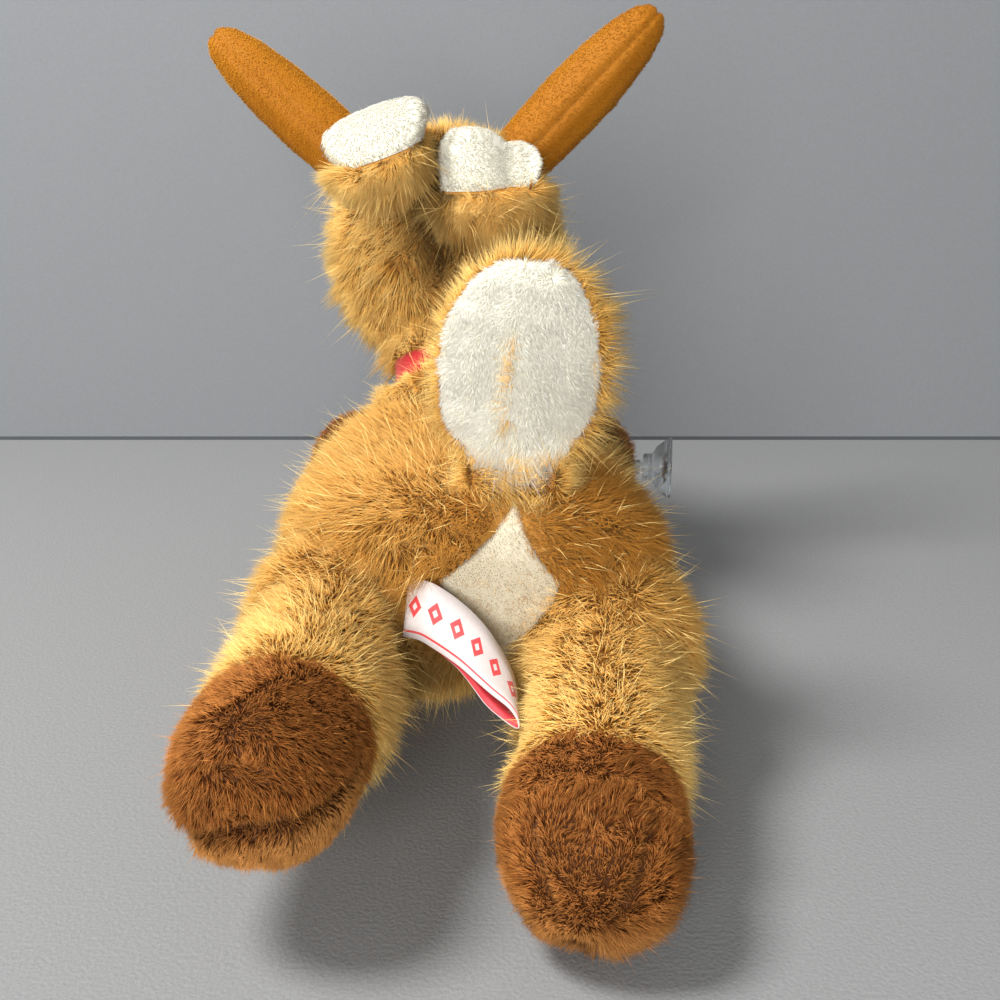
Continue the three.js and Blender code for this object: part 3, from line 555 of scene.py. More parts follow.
def in_shade(roots, outs):
    """Painted shade: darker pile round the diamond, below the tail and down the right flank,
    on a torso pile that is a darker tone all over.
    """
    beside = 1 - ramp(beside_diamond(roots), 8 * mm, 34 * mm)
    x, y, z = roots.T / mm
    under_tail = bell((x - 22) / 24) * bell((z - 112) / 16) * (y < -40)
    return np.clip(0.6 + 0.3 * beside + 0.3 * under_tail + 0.35 * ramp(x, 5, 50), 0, 0.97)


def crotch_shade(roots, outs):
    """Painted shade on the pile between the hind legs, under the label, where shade falls."""
    return 0.6 * (1 - ramp(away_from(roots, np.array([-9, -112, 46]) * mm), 12 * mm, 40 * mm))


ribbon_gap = np.array([-40, 34, 118]) * mm
rump_end, spine = -62 * mm, -8 * mm


def off_ribbon(roots):
    """Leaves bare the place at the neck where the ribbon shows."""
    return away_from(roots, ribbon_gap) > 8 * mm


torso = cloth_piece("torso_plush", torso_form, tan, "torso", "plush_tan", "torso_skin", "torso_stuffing")
for number, (title, count, test) in enumerate((
        ("torso_pile_rump", 44000, lambda p, n: (p[:, 1] < rump_end) & (p[:, 2] > 12 * mm)),
        ("torso_pile_left", 33000,
         lambda p, n: (p[:, 1] >= rump_end) & (p[:, 0] < spine) & off_ribbon(p)),
        ("torso_pile_right", 31000,
         lambda p, n: (p[:, 1] >= rump_end) & (p[:, 0] >= spine) & off_ribbon(p)))):
    # The torso's pile carries painted shade round the diamond, under the tail, down the right flank and
    # between the hind legs.
    pile(title, torso_form, "torso", tan, "plush_tan", count, torso_length, along_back, seed=11 + number,
         where=test, around=near_torso, gather=0.25, unruly=0.42, zone=in_shade, painted_shade=crotch_shade,
         width=0.42, strays=0.018)

# Belly gusset: cream velour with a short even nap, sewn into the underside, with its pointed
# end up the rump.
cream = plush("velour_cream", foot=(0.59, 0.53, 0.39), body=(0.60, 0.54, 0.41), tip=(0.65, 0.59, 0.48),
              patch=(0.58, 0.52, 0.39), drift=0.08)
bm = bmesh.new()
bm.from_mesh(belly_form)
for vert in bm.verts:
    vert.co.x += float(gusset_middle(vert.co.z)) - 5 * mm
    vert.co.y -= 0.4 * mm * float(ramp(vert.co.z, 82 * mm, 108 * mm))
bm.to_mesh(belly_form)
bm.free()
belly = cloth_piece("belly_velour", belly_form, cream, "torso", "plush_cream", "belly_panel")
nap = {"tuft": 8, "gather": 0.0, "droop": 0.0, "strays": 0.0}
pile("belly_nap", belly_form, "torso", cream, "plush_cream", 13000, 0.9 * mm, along_back, seed=21,
     width=0.26, lean=0.15, unruly=0.0, where=lambda p, n: p[:, 1] < -82 * mm, **nap)

# Legs: a plush limb and a hoof in short brown pile, sewn on at a seam, with a sole panel below.
# The left hind hoof is folded in above its sole, and the right one is gathered at its tip.
# The hoof's near-black foot colour is painted shade deep in its pile.
brown = plush("plush_hoof", foot=(0.10, 0.028, 0.004), body=(0.31, 0.092, 0.014), tip=(0.59, 0.24, 0.054),
              patch=(0.23, 0.063, 0.009), zone=(0.59, 0.27, 0.072), drift=0.6)
leg_turns = {"hind_left": (174, -1, 15), "hind_right": (174, -12, 0), "front_left": (5, 8, 0),
             "front_right": (-7, 8, -90)}
leg_seams = {leg: (76 if leg.startswith("hind") else 54) * mm for leg in legs}


def leg_frame(leg):
    heading, rise, roll = (math.radians(angle) for angle in leg_turns[leg])
    turn = (Matrix.Rotation(heading, 4, "Z") @ Matrix.Rotation(rise, 4, "X")
            @ Matrix.Rotation(roll, 4, "Y"))
    return Matrix.Translation(joints[f"{leg}_swing"]["pos_m"]) @ turn


def in_leg(leg, places):
    """Places in a leg's own frame, which runs along y from the joint to the hoof's tip."""
    back = np.array(leg_frame(leg).inverted())
    return places @ back[:3, :3].T + back[:3, 3]


def toe_fold(places):
    x, y, z = in_leg("hind_left", places).T / mm
    return bell((z + 1.5 + 0.006 * x * x) / 2.6) * ramp(y, 86, 98)


def toe_gather(places):
    x, y, z = in_leg("hind_right", places).T / mm
    dimple = np.exp(-(((x - 3) ** 2 + (z + 15) ** 2) / 30)) * ramp(y, 92, 104)
    crease = bell((np.abs(x) - 4 - 0.5 * (z + 5)) / 2.2) * ramp(y, 96, 110) * ramp(z, -4, 4)
    return dimple + 0.45 * crease * (z < 20)


def toe_taper(places):
    x, y, z = in_leg("hind_right", places).T / mm
    return ramp(y, 88, 112) * ramp(x, 8, 24)


def toe_drawn_in(places):
    x, y, z = in_leg("hind_left", places).T / mm
    return ramp(y, 70, 92) * np.clip(ramp(-z, 6, 20) + ramp(-x, 8, 24), 0, 1)


sculpt(leg_forms["hind_left"], lambda p, n: -(5.5 * toe_fold(p) + 2.2 * toe_drawn_in(p)) * mm)
sculpt(leg_forms["hind_right"], lambda p, n: -(4.6 * toe_gather(p) + 2.2 * toe_taper(p)) * mm)
for leg in legs:
    sculpt(leg_forms[leg],
           lambda p, n: -0.9 * mm * bell((in_leg(leg, p)[:, 1] - leg_seams[leg]) / (2 * mm)))

label_solid = nodes["care_label"].data
label_tree = KDTree(len(label_solid.vertices))
for vert in label_solid.vertices:
    label_tree.insert(vert.co, vert.index)
label_tree.balance()


def off_label(roots):
    """Pile pressed down where the label lies against it: 0 at the label, 1 clear of it."""
    away = np.array([label_tree.find(root)[2] for root in roots])
    return 0.35 + 0.65 * ramp(away, 4 * mm, 15 * mm)


def parted(whole, name, seam_place, way):
    """The part of a whole form that lies behind a seam's plane."""
    bm = bmesh.new()
    bm.from_mesh(whole)
    bmesh.ops.bisect_plane(bm, geom=bm.verts[:] + bm.edges[:] + bm.faces[:],
                           plane_co=seam_place - way * 0.15 * mm, plane_no=way, clear_outer=True)
    bmesh.ops.holes_fill(bm, edges=[edge for edge in bm.edges if edge.is_boundary])
    return mesh_from(bm, name)


def always(way):
    """A comb that lies one way all over."""
    return lambda roots, outs: np.tile(way, (len(roots), 1))


near_legs = tree_of(torso_form, belly_form, head_form, label_solid)


def dress_leg(number, leg):
    """A leg's limb and hoof, each with its own pile."""
    hind = leg.startswith("hind")
    whole, seam = leg_forms[leg], leg_seams[leg]
    down = leg_frame(leg).to_3x3() @ Vector((0, 1, 0))
    axis, seam_place = np.array(down), leg_frame(leg) @ Vector((0, seam, 0))
    limb = cloth_piece(f"{leg}_limb", parted(whole, f"{leg}_limb", seam_place, down), tan, leg,
                       "plush_tan", f"{leg}_skin", f"{leg}_stuffing")
    hoof = cloth_piece(f"{leg}_hoof_plush", parted(whole, f"{leg}_hoof_plush", seam_place, -down), brown,
                       leg, "plush_hoof", f"{leg}_hoof", f"{leg}_sole")

    def limb_length(roots, outs):
        near_hoof = ramp(seam - in_leg(leg, roots)[:, 1], 0, 14 * mm)
        if leg.startswith("front"):
            return (15 - 4 * near_hoof) * mm
        return (7.5 + 4 * near_hoof) * mm * off_label(roots)

    def over_hoof(roots, outs):
        flow = np.tile(axis * 0.7 + [0, 0, -0.7], (len(roots), 1))
        if leg == "hind_right":
            tip = np.array(leg_frame(leg) @ Vector((3 * mm, 118 * mm, -15 * mm)))
            near = ramp(in_leg(leg, roots)[:, 1], 88 * mm, 104 * mm)[:, None]
            flow = flow * (1 - near) + 1.4 * unit(roots - tip) * near
        return flow

    def hoof_length(roots, outs):
        size = np.full(len(roots), 5.4 if leg == "hind_left" else 4.6)
        if leg == "hind_left":
            size *= 1 - np.maximum(0.65 * toe_fold(roots), 0.27 * toe_drawn_in(roots))
        if leg == "hind_right":
            x, y, z = in_leg(leg, roots).T / mm
            outer_toe = ramp(y, 96, 116) * ramp(-x - z, 0, 24)
            size *= 1 - 0.5 * np.minimum(toe_gather(roots), 1) + 0.5 * outer_toe
        return size * mm

    def lower_hoof(roots, outs):
        x, y, z = in_leg(leg, roots).T / mm
        if leg == "hind_left":
            return 0.9 * ramp(-z, 3.5, 8) * ramp(y, 80, 94)
        if leg == "hind_right":
            return 0.7 * ramp(-z, -4, 12) * ramp(y, 92, 108) * (1 - np.minimum(toe_gather(roots), 1))
        return 0.5 * ramp(-z, 6, 14)

    def near_hip(roots, outs):
        return 0.5 * (1 - ramp(in_leg(leg, roots)[:, 1], 10 * mm, 52 * mm))

    # Painted shade in the left hoof's fold and in the right hoof's dimple and creases.
    def fold_shade(roots, outs):
        if leg == "hind_left":
            return 0.85 * toe_fold(roots)
        if leg == "hind_right":
            return np.minimum(1.1 * toe_gather(roots), 1)
        return np.zeros(len(roots))

    pile(f"{leg}_pile", limb.data, leg, tan, "plush_tan", 32000 if hind else 9000, limb_length,
         always(axis * 0.7 + [0, 0, -0.5]), seed=31 + number, around=near_legs, gather=0.3, unruly=0.42,
         width=0.42, strays=0.02, zone=near_hip, painted_shade=crotch_shade,
         where=lambda p, n: in_leg(leg, p)[:, 1] < seam - 0.5 * mm)
    pile(f"{leg}_hoof_pile", hoof.data, leg, brown, "plush_hoof", 28500 if hind else 5000, hoof_length,
         over_hoof, seed=41 + number, around=near_legs, lean=0.5, zone=lower_hoof, tuft=18, gather=0.45,
         strays=0.006, droop=0.05, painted_shade=fold_shade,
         where=lambda p, n: in_leg(leg, p)[:, 1] > seam + 0.3 * mm)


for number, leg in enumerate(legs):
    dress_leg(number, leg)

# Suction cups: clear moulded vinyl, each with a boss and a button that is pushed through the
# hoof's sole and holds behind the plush. They are spun on the leg's own axes.
vinyl = finish_of("vinyl_clear", {
    "Base Color": (0.93, 0.97, 0.99, 1), "Transmission Weight": 0.94, "IOR": 1.45})
tree = vinyl.node_tree
haze = tree.nodes.new("ShaderNodeMapRange")
haze.inputs["To Min"].default_value = 0.03
haze.inputs["To Max"].default_value = 0.14
tree.links.new(grain_of(tree, 260), haze.inputs["Value"])
tree.links.new(haze.outputs["Result"], tree.nodes["Principled BSDF"].inputs["Roughness"])
cup_profile = [(0, -7.1), (6.5, -7.1), (6.5, -5.6), (3.5, -5.6), (3.5, 4), (6.2, 4), (7, 4.8), (7, 8.4),
               (8.2, 9.6), (10.85, 10.9), (14.4, 15.5), (15.3, 17.3), (15.5, 17.9), (15.2, 18.5),
               (14.3, 18.4), (13.2, 17.6), (10.85, 16.4), (5.4, 15.1), (0, 14.7)]
front_leg, sole_depth = 96 * mm, 26 * mm
cup_place = (0, 0.74 * front_leg, -sole_depth)
for leg in ("front_left", "front_right"):
    bm = bmesh.new()
    ring = [bm.verts.new((radius * mm, 0, height * mm)) for radius, height in cup_profile]
    edges = [bm.edges.new(pair) for pair in zip(ring, ring[1:])]
    bmesh.ops.spin(bm, geom=ring + edges, cent=(0, 0, 0), axis=(0, 0, 1), angle=2 * math.pi, steps=48,
                   use_merge=True, use_duplicate=False)
    bmesh.ops.remove_doubles(bm, verts=bm.verts, dist=0.002 * mm)
    seat = leg_frame(leg) @ Matrix.Translation(cup_place) @ Matrix.Rotation(math.pi, 4, "X")
    bmesh.ops.transform(bm, matrix=seat, verts=bm.verts)
    bmesh.ops.recalc_face_normals(bm, faces=bm.faces)
    cloth_piece(f"{leg}_cup", mesh_from(bm, f"{leg}_cup"), vinyl, leg, "vinyl_clear",
                f"{leg}_suction_cup")

# Head: two plush sides and a gusset over the crown, sewn to the neck. The pile is shorter on
# the muzzle, and the ribbon presses it down at the neck.
near_head = tree_of(torso_form, tail_form)
neck_foot = Vector(joints["neck_nod"]["pos_m"])
head_middle = (-20.01, 78.21, 169.96)
neck_way = (Vector(head_middle) * mm - neck_foot).normalized()


def clear_of_band(places):
    """True away from the ring round the neck that the ribbon covers."""
    rise = (places - np.array(neck_foot)) @ np.array(neck_way)
    return (rise < 7 * mm) | (rise > 19 * mm) | (places[:, 1] > 90 * mm)


def shade_between_ears(roots, outs):
    """Painted shade on the nape's pile in the gap between the two ears."""
    x, y, z = roots.T / mm
    return bell((x + 22) / 10) * ramp(z, 156, 174) * (y < 60)


def head_length(roots, outs):
    muzzle = np.clip((roots[:, 1] - 96 * mm) / (35 * mm), 0, 1)
    nape = ramp(70 * mm - roots[:, 1], 0, 20 * mm)
    near_ribbon = ramp(away_from(roots, ribbon_gap), 10 * mm, 22 * mm)
    return (12 + 2.5 * nape - 8 * muzzle) * (0.45 + 0.55 * near_ribbon) * mm


head = cloth_piece("head_plush", head_form, tan, "head", "plush_tan", "head_skin", "head_stuffing")
for number, (title, count, test) in enumerate((
        ("head_pile_back", 33000, lambda p, n: (p[:, 1] < 74 * mm) & clear_of_band(p) & off_ribbon(p)),
        ("head_pile_face", 15000, lambda p, n: (p[:, 1] >= 74 * mm) & clear_of_band(p)))):
    # Between the ears the head's pile takes painted shade.
    pile(title, head_form, "head", tan, "plush_tan", count, head_length, always([0.0, -0.6, -0.75]),
         seed=51 + number, where=test, around=near_head, tuft=36, gather=0.55, width=0.42,
         zone=shade_between_ears, painted_shade=shade_between_ears)

# Eyes and nose: black moulded plastic on shanks, held behind the skin by washers. Each is the
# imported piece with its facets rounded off.


def mottled(name, settings, low, high, scale):
    """A plain finish that drifts between two shades in fine grains."""
    material = finish_of(name, settings)
    two_tone(material.node_tree, grain_of(material.node_tree, scale), low, high)
    return material


black = mottled("plastic_black", {"Roughness": 0.12, "Coat Weight": 0.4}, (0.006, 0.004, 0.004),
                (0.018, 0.011, 0.008), 900)
for name in ("eye_left", "eye_right", "nose"):
    button = form(f"{name}_button", [name], voxel=0.5 * mm, smoothing=5, inset=0)
    cloth_piece(f"{name}_button", button, black, "head", "plastic_black", name)

washer_finish = mottled("plastic_washer", {"Roughness": 0.5}, (0.70, 0.70, 0.68), (0.82, 0.82, 0.80), 700)
for name in ("eye_left_washer", "eye_right_washer", "nose_washer"):
    nodes[name].data.materials.clear()
    nodes[name].data.materials.append(washer_finish)

# Ears: a plush back and a thick cream velour lining, sewn round their edge and laid back over
# the neck. The lining rolls up over the seam, and the back's pile hangs below it in locks. The
# right ear is pressed down, and dented across its middle.
ear_white = plush("velour_lining", foot=(0.69, 0.66, 0.55), body=(0.71, 0.68, 0.57), tip=(0.74, 0.71, 0.61),
                  patch=(0.69, 0.66, 0.55), drift=0.05)
ear_seams = {"ear_left": ((-51, 15, 211.3), (-0.353, -0.15, 1)),
             "ear_right": ((2, 14, 198.5), (0, -0.233, 1))}


def dress_ear(number, ear):
    """An ear's plush back with its pile, and its lining with a short nap."""
    whole = form(f"{ear}_whole", [f"{ear}_back", f"{ear}_lining"], voxel=1.5 * mm, smoothing=7,
                 inset=0.1 * mm)
    left = ear == "ear_left"
    ear_root = np.array(joints[f"{ear}_flap"]["pos_m"])
    seam_place, seam_way = Vector(ear_seams[ear][0]) * mm, Vector(ear_seams[ear][1]).normalized()

    def over_seam(places):
        return (places - np.array(seam_place)) @ np.array(seam_way)

    def pressed(places, outs):
        push = -0.8 * bell(over_seam(places) / (1.3 * mm))
        if not left:
            x = (places - ear_root)[:, 0] / mm
            dome = np.clip(np.minimum(((x + 6) / 14) ** 2, ((x - 17) / 9) ** 2), 0, 1.2)
            push -= ramp(outs[:, 2], 0, 0.6) * (4.2 + 2.2 * ramp(x, 4, 12) + 3 * dome)
        return push * mm

    sculpt(whole, pressed, eased=14)
    back_form = parted(whole, f"{ear}_plush", seam_place, seam_way)
    lining_form = parted(whole, f"{ear}_velour", seam_place, -seam_way)
    back = cloth_piece(f"{ear}_plush", back_form, tan, ear, "plush_tan", f"{ear}_back")
    lining = cloth_piece(f"{ear}_velour", lining_form, ear_white, ear, "plush_cream", f"{ear}_lining")

    def hanging(roots, outs):
        """Off the seam the pile stands up a little, and below it hangs down and outwards."""
        spread = np.zeros((len(roots), 3))
        spread[:, 0] = 0.5 * np.clip((roots - ear_root)[:, 0] / (18 * mm), -1, 1)
        at_seam = ramp(over_seam(roots), -4 * mm, -0.5 * mm)[:, None]
        return spread + [-0.3 if left else 0.3, -0.6, -0.8] + at_seam * [0.0, 0.0, 0.5]

    def lining_length(roots, outs):
        return (1.0 + 1.2 * (1 - ramp(over_seam(roots), 0, 4 * mm))) * mm

    # The ears' pile is darkened by painted shade in the gap between the ears.
    pile(f"{ear}_pile", back_form, ear, tan, "plush_tan", 18000, 15 * mm, hanging, seed=61 + number,
         around=tree_of(lining_form), lean=0.58, tuft=44, gather=0.62, width=0.4, droop=0.1, strays=0.02,
         painted_shade=lambda p, n: bell((p[:, 0] / mm + 22) / 7), where=lambda p, n: over_seam(p) < -0.5 * mm,
         zone=lambda p, n: np.full(len(p), 0.1 if left else 0.35))
    pile(f"{ear}_nap", lining_form, ear, ear_white, "plush_cream", 14000, lining_length,
         always([0.0, -0.8, -0.4]), seed=63 + number, around=tree_of(back_form), width=0.34, lean=0.15,
         unruly=0.0, where=lambda p, n: over_seam(p) > 0.4 * mm, **nap)


for number, ear in enumerate(("ear_left", "ear_right")):
    dress_ear(number, ear)

# Antlers: stuffed velour, each a beam and a forward tine cut in two halves, with the seam along
# the middle of its outer face.
orange = plush("velour_orange", foot=(0.40, 0.14, 0.005), body=(0.53, 0.21, 0.008), tip=(0.63, 0.30, 0.018),
               patch=(0.36, 0.115, 0.004), patch_size=45, drift=0.16)
antler_reach = 104
for number, (side_name, side, foot, tip) in enumerate((
        ("left", -1, (0.297, 0.262), (1, 0.894)), ("right", 1, (0.288, 0.335), (0.925, 0.988)))):
    antler = f"antler_{side_name}"
    antler_form = form(f"{antler}_velour", [f"{antler}_skin", f"{antler}_stuffing"], voxel=1.4 * mm,
                       smoothing=7, inset=0)
    low, high = (np.array(head_middle) * mm
                 + np.array([side * antler_reach * out, 6, antler_reach * up]) * mm
                 for out, up in (foot, tip))
    beam_way = (high - low) / np.linalg.norm(high - low)
    beam_side = np.cross(beam_way, [0, 1, 0])
    beam_side /= np.linalg.norm(beam_side)
    sculpt(antler_form, lambda p, n: -0.9 * mm * bell((p - low) @ beam_side / (0.8 * mm)))
    piece = cloth_piece(f"{antler}_velour", antler_form, orange, "head", "velour_orange",
                        f"{antler}_skin", f"{antler}_stuffing")
    pile(f"{antler}_nap", antler_form, "head", orange, "velour_orange", 12000, 1.2 * mm,
         always(beam_way), seed=67 + number, around=tree_of(head_form), lean=0.55, unruly=0.05, **nap)

# Tail: a raised leaf with a white front in soft nap, parted along the crease down its middle,
# and a long-pile tan back whose pile fringes its edge.
white = plush("plush_white", foot=(0.97, 0.93, 0.76), body=(0.98, 0.95, 0.81), tip=(0.99, 0.97, 0.88),
              patch=(0.94, 0.90, 0.75), drift=0.06, sheen=0.8)
tail_back_form = form("tail_plush", ["tail_back", "tail_stuffing"], voxel=1.6 * mm, smoothing=3,
                      inset=0.1 * mm)
tail_lining_form = form("tail_white", ["tail_lining"], voxel=1.2 * mm, smoothing=4, inset=0.1 * mm)


def tail_crease(places):
    """How far a place is to the side of the tail's middle line, in millimetres."""
    along = (places[:, 2] / mm - 112) / 76
    return places[:, 0] / mm - (6.5 + 5 * along)


sculpt(tail_lining_form, lambda p, n: (-mm * bell(tail_crease(p) / 2.8) * ramp(-n[:, 1], 0.3, 0.7)
                                       * ramp(185 - p[:, 2] / mm, 0, 30)))
tail = cloth_piece("tail_plush", tail_back_form, tan, "tail", "plush_tan", "tail_back", "tail_stuffing")
tail_front = cloth_piece("tail_white", tail_lining_form, white, "tail", "plush_white", "tail_lining")


def out_of_tail(roots, outs):
    """Out from the tail's middle all round its edge, and drawn in at its foot."""
    spread = unit((roots - np.array([12, 0, 145]) * mm) * [1, 0, 1])
    low = ramp(138 - roots[:, 2] / mm, 0, 16)[:, None]
    inwards = np.sign(spread[:, :1]) * [-0.6, 0, 0] + [0, -0.5, 0.5]
    return spread * (1 - 0.9 * low) + inwards * low + [0.12, -0.35, 0.0]


def down_nap(roots, outs):
    return np.clip(tail_crease(roots) / 2, -1, 1)[:, None] * [0.32, 0, 0] + [0, 0, -0.8]


def nap_length(roots, outs):
    """The white nap is longest at the tail's foot, where it hangs in a point over the rump."""
    foot_point = bell((roots[:, 0] / mm - 10) / 9) * ramp(136 - roots[:, 2] / mm, 0, 12)
    return (3.6 + 9 * foot_point) * mm


def off_oval(places):
    """How far a place on the tail's front is outside the white's rounded outline."""
    height = places[:, 2] / mm - 150
    low = np.clip(1 - (height / 36) ** 2, 0, 1) ** 0.8
    high = np.clip(1 - (height / 46) ** 2, 0, 1) ** 0.5
    return np.abs(places[:, 0] - 10.7 * mm) - 27 * np.where(height < 0, low, high) * mm


pile("tail_pile", tail_back_form, "tail", tan, "plush_tan", 22000,
     lambda p, n: (11 + 4 * ramp(p[:, 0] / mm + 0.3 * (p[:, 2] / mm - 150), 8, 30)) * mm, out_of_tail,
     seed=71, around=tree_of(tail_lining_form, torso_form), strays=0.035, gather=0.35, width=0.32)
pile("tail_nap", tail_lining_form, "tail", white, "plush_white", 28000, nap_length, down_nap, seed=72,
     around=tree_of(tail_back_form), width=0.4, lean=0.68, tuft=14, gather=0.15, droop=0.06,
     strays=0.01, where=lambda p, n: (n[:, 1] < 0.2) & (off_oval(p) < 0))
pile("tail_fringe", tail_lining_form, "tail", tan, "plush_tan", 2500, 7 * mm, out_of_tail, seed=73,
     around=tree_of(torso_form), width=0.4, droop=0.1, where=lambda p, n: off_oval(p) > -0.3 * mm)

# Neck ribbon: a red satin tape round the neck, drawn in under the pile, with a bow at the throat.
satin = finish_of("satin_red", {
    "Roughness": 0.36, "Sheen Weight": 0.35, "Sheen Tint": (1.0, 0.35, 0.35, 1)})


def weave_group():
    """Fine crossing threads, as a height and as a shade from thread to thread."""
    group = bpy.data.node_groups.new("weave", "ShaderNodeTree")
    group.interface.new_socket("Place", in_out="INPUT", socket_type="NodeSocketVector")
    group.interface.new_socket("Threads", in_out="INPUT", socket_type="NodeSocketFloat")
    group.interface.new_socket("Height", in_out="OUTPUT", socket_type="NodeSocketFloat")
    group.interface.new_socket("Shade", in_out="OUTPUT", socket_type="NodeSocketFloat")
    add, link = group.nodes.new, group.links.new
    given, out = add("NodeGroupInput").outputs, add("NodeGroupOutput")
    waves = [add("ShaderNodeTexWave") for _ in range(2)]
    for wave, axis in zip(waves, "XY"):
        wave.bands_direction = axis
        wave.inputs["Distortion"].default_value = 0.4
        link(given["Place"], wave.inputs["Vector"])
        link(given["Threads"], wave.inputs["Scale"])
    uneven = add("ShaderNodeTexNoise")
    uneven.inputs["Scale"].default_value = 0.8
    link(given["Place"], uneven.inputs["Vector"])
    link(step_of(group, "MULTIPLY", *(wave.outputs["Fac"] for wave in waves)), out.inputs["Height"])
    link(uneven.outputs["Fac"], out.inputs["Shade"])
    return group


weave = weave_group()


def woven(material, low, high, threads, relief):
    """Colours a tape's material by the place on its own map, in millimetres along and across it."""
    tree = material.node_tree
    place = tree.nodes.new("ShaderNodeUVMap")
    place.uv_map = "tape"
    threading = tree.nodes.new("ShaderNodeGroup")
    threading.node_tree = weave
    threading.inputs["Threads"].default_value = threads
    tree.links.new(place.outputs["UV"], threading.inputs["Place"])
    relief_of(tree, threading.outputs["Height"], 0.5, relief)
    return place.outputs["UV"], two_tone(tree, threading.outputs["Shade"], low, high)


woven(satin, (0.42, 0.012, 0.020), (0.62, 0.030, 0.040), 1.0, 0.06 * mm)


def tape_map(bm, place):
    """Lays out a tape's own map, in millimetres, by what place gives for each corner."""
    layer = bm.loops.layers.uv.new("tape")
    for face in bm.faces:
        for loop in face.loops:
            loop[layer].uv = place(loop.vert.co)


def tape(name, route, ways, width, thickness, materials, inside_point=None, steps=72, closed=False):
    """A flat tape: a grid is bent along the route, with its width lying along ways.

    A point inside its bend says which face of it is the inner one, which takes the last material.
    """
    route, ways = np.array(route, float), unit(np.array(ways, float))
    if closed:
        route, ways = np.vstack([route, route[:1]]), np.vstack([ways, ways[:1]])
    steps_along = np.concatenate([[0], np.cumsum(np.linalg.norm(np.diff(route, axis=0), axis=1))])
    fine = np.linspace(0, steps_along[-1], steps + 1)
    line = np.stack([np.interp(fine, steps_along, row) for row in np.hstack([route, ways]).T], 1)
    for _ in range(10):
        line[1:-1] += (line[:-2] + line[2:] - 2 * line[1:-1]) * 0.25
    bent, turned = line[:, :3], unit(line[:, 3:])
    bm = bmesh.new()
    bmesh.ops.create_grid(bm, x_segments=steps, y_segments=4, size=0.5)
    length = np.linalg.norm(np.diff(bent, axis=0), axis=1).sum()
    tape_map(bm, lambda spot: ((spot.x + 0.5) * length / mm, (spot.y + 0.5) * width / mm))
    for vert in bm.verts:
        i = min(round((vert.co.x + 0.5) * steps), steps)
        vert.co = bent[i] + turned[i] * vert.co.y * width
    if closed:
        bmesh.ops.remove_doubles(bm, verts=bm.verts, dist=0.01 * mm)
    bm.normal_update()
    if inside_point is not None:
        face = min(bm.faces, key=lambda f: (f.calc_center_median() - Vector(bent[steps // 5])).length)
        if face.normal.dot(face.calc_center_median() - Vector(inside_point)) < 0:
            bmesh.ops.reverse_faces(bm, faces=bm.faces)
    piece = placed(name, mesh_from(bm, name))
    for material in materials:
        piece.data.materials.append(material)
    piece.data.shade_smooth()
    wall = piece.modifiers.new("thickness", "SOLIDIFY")
    wall.thickness = thickness
    wall.offset = -1
    wall.material_offset = len(materials) - 1
    return piece, (width, length)


ribbon_width, ribbon_thickness, ribbon_radius = 10 * mm, 0.8 * mm, 30.2 * mm
band_middle = neck_foot + neck_way * 13 * mm
neck_turn = Vector((0, 1, 0)).rotation_difference(neck_way).to_matrix()
band = [band_middle + neck_turn @ Vector((math.cos(angle), 0, math.sin(angle))) * ribbon_radius
        for angle in np.linspace(0, 2 * math.pi, 73)[:-1]]
ribbon, flat = tape("neck_ribbon_satin", band, [neck_way] * len(band), ribbon_width, ribbon_thickness,
                    [satin], inside_point=band_middle, closed=True)
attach(ribbon, "head")
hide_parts("neck_ribbon")

level = Vector((0, 0, 1)).cross(neck_way).cross(neck_way).normalized()
across = level.cross(neck_way)
bow_middle = band_middle + level * 30.9 * mm


def bow_place(side, out, rise):
    """A place on the bow, in millimetres across the throat, out from it and up the neck."""
    return bow_middle + across * side * mm + level * out * mm + neck_way * rise * mm


bow_loop = [(0.12, 0.2), (0.5, 0.02), (0.9, 0.12), (1, 0.45), (0.9, 0.85), (0.5, 1), (0.12, 0.8)]
bow_tail = [(0.1, 0.4, -0.08), (0.35, 1.05, -0.3), (0.7, 1.12, -0.65), (1, 1.15, -1)]
for side, side_name in ((-1, "left"), (1, "right")):
    loop_route = [bow_place(side * 17 * reach, 1 + 7 * out, 0) for reach, out in bow_loop]
    tail_route = [bow_place(side * 12 * reach, 9.7 * out, 24 * drop) for reach, out, drop in bow_tail]
    for title, route, ways, held in (("loop", loop_route, [neck_way] * len(bow_loop), "folded"),
                                     ("tail", tail_route, [across] * len(bow_tail), "hung")):
        piece, flat = tape(f"bow_{title}_{side_name}", route, ways, ribbon_width, ribbon_thickness,
                           [satin], steps=40)
        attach(piece, "head")
        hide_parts("ribbon_bow")
bm = bmesh.new()
bmesh.ops.create_uvsphere(bm, u_segments=24, v_segments=16, radius=1)
bmesh.ops.scale(bm, vec=(5.0 * mm, 5.0 * mm, 3.6 * mm), verts=bm.verts)
turn = Matrix((across, neck_way, -level)).transposed().to_4x4()
bmesh.ops.transform(bm, matrix=Matrix.Translation(bow_place(0, 4.2, 0)) @ turn, verts=bm.verts)
bmesh.ops.recalc_face_normals(bm, faces=bm.faces)
tape_map(bm, lambda spot: ((spot - bow_middle).dot(neck_way) / mm, (spot - bow_middle).dot(across) / mm))
cloth_piece("bow_knot", mesh_from(bm, "bow_knot"), satin, "head", "satin_red")

# Label: a white woven tape folded into a loop and sewn into the gusset's left seam. Its inside
# is red, and its outside carries a plain woven border with a row of red diamonds.
label_white, label_red = (finish_of(name, {"Roughness": 0.45, "Sheen Weight": 0.2})
                          for name in ("label_white", "label_red"))
woven(label_red, (0.42, 0.010, 0.018), (0.66, 0.03, 0.04), 1.1, 0.05 * mm)
label_place, label_shade = woven(label_white, (0.55, 0.49, 0.47), (0.66, 0.60, 0.58), 1.1, 0.05 * mm)
tree = label_white.node_tree


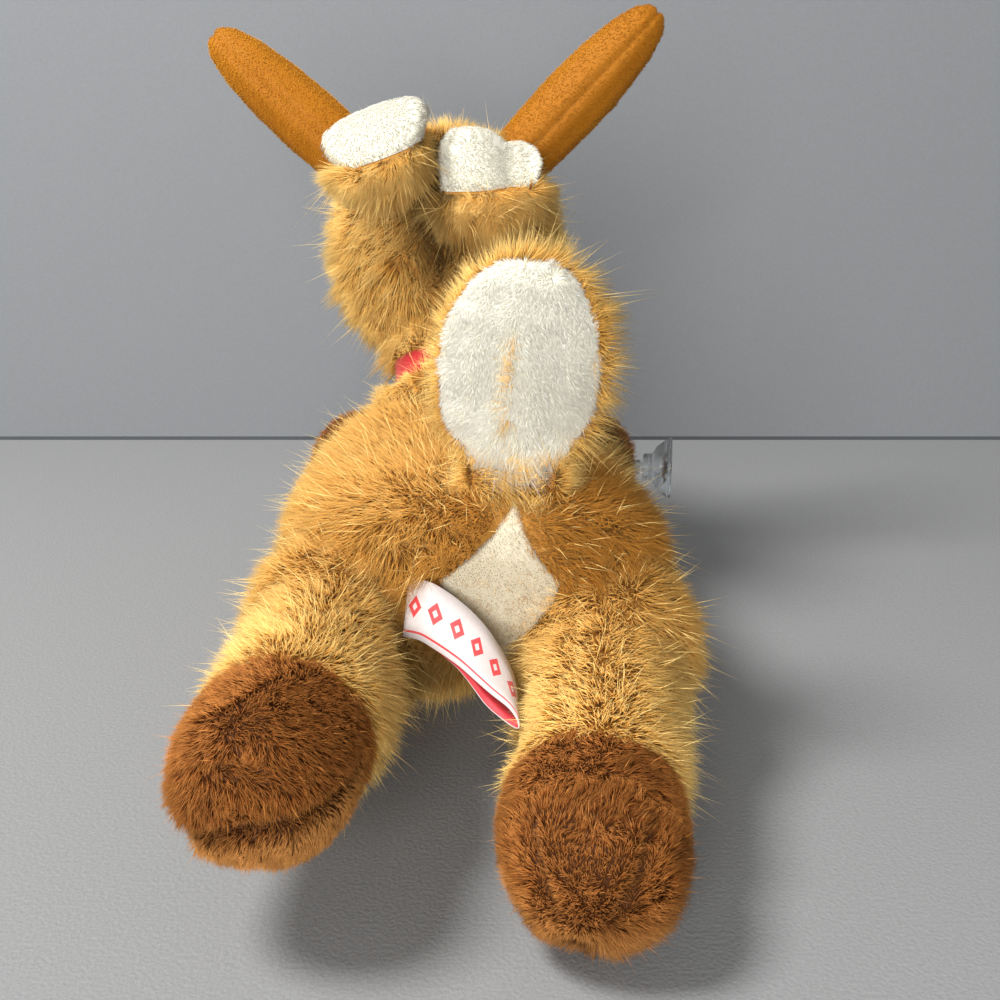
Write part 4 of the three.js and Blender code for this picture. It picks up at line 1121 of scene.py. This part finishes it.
def pattern(operation, *values):
    """One step of the label's pattern, worked out from its map in millimetres."""
    return step_of(tree, operation, *values)


def off_line(place, line):
    return pattern("ABSOLUTE", pattern("SUBTRACT", place, line))


# One diamond in each cell along the tape, given by its half length and half width.
cell, half_length, half_width, row_place, border_place = 9.0, 3.1, 3.9, 10.8, 2.2
apart = tree.nodes.new("ShaderNodeSeparateXYZ")
tree.links.new(label_place, apart.inputs["Vector"])
in_cell = off_line(pattern("FRACT", pattern("DIVIDE", apart.outputs["X"], cell)), 0.5)
rhomb = pattern("ADD", pattern("MULTIPLY", in_cell, cell / half_length),
                pattern("DIVIDE", off_line(apart.outputs["Y"], row_place), half_width))
diamonds = pattern("LESS_THAN", rhomb, 1.0)
heart = pattern("LESS_THAN", rhomb, 0.38)
border = pattern("LESS_THAN", off_line(apart.outputs["Y"], border_place), 0.38)
marks = pattern("MAXIMUM", pattern("SUBTRACT", diamonds, heart), border)
printed = tree.nodes.new("ShaderNodeMix")
printed.data_type = "RGBA"
printed.inputs[7].default_value = (0.62, 0.045, 0.05, 1)
tree.links.new(marks, printed.inputs["Factor"])
tree.links.new(label_shade, printed.inputs[6])
tree.links.new(printed.outputs[2], tree.nodes["Principled BSDF"].inputs["Base Color"])

# Each row across the loop: where its middle is, the way its width runs, and how far it is open.
label_rows = [
    ((0, 0, 0), (0.1, 0.34, 0.93), 0.15), ((0.11, -0.10, 0.03), (0.15, 0.38, 0.91), 0.2),
    ((0.22, -0.16, -0.02), (0.2, 0.62, 0.75), 0.25), ((0.32, -0.22, -0.08), (0.24, 0.77, 0.58), 0.4),
    ((0.40, -0.29, -0.15), (0.23, 0.85, 0.46), 0.7), ((0.47, -0.36, -0.23), (0.15, 0.94, 0.32), 1.0),
    ((0.535, -0.43, -0.28), (0.04, 0.99, 0.16), 0.95), ((0.58, -0.49, -0.33), (-0.03, 1.0, 0.05), 0.55)]
label_seat = np.array([-27.05, -115.82, 74.59]) * mm
loop_length, loop_half = 64, 3
middles = np.array([place for place, _, _ in label_rows]) * loop_length * mm + label_seat
label_ways = unit(np.array([way for _, way, _ in label_rows]))
tangents = np.gradient(middles, axis=0)
outwards = unit(np.cross(label_ways, tangents))
openings = np.array([opening for _, _, opening in label_rows])[:, None] * loop_half * mm
fold_place = middles[-1] + unit(tangents[-1:])[0] * loop_half * mm
label_route = [*(middles - outwards * openings), fold_place, *(middles + outwards * openings)[::-1]]
route_ways = [*label_ways, label_ways[-1], *label_ways[::-1]]
label, flat = tape("woven_label", label_route, route_ways, 20 * mm, 0.5 * mm, [label_white, label_red],
                   inside_point=middles[3], steps=110)
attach(label, "torso")
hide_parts("care_label")
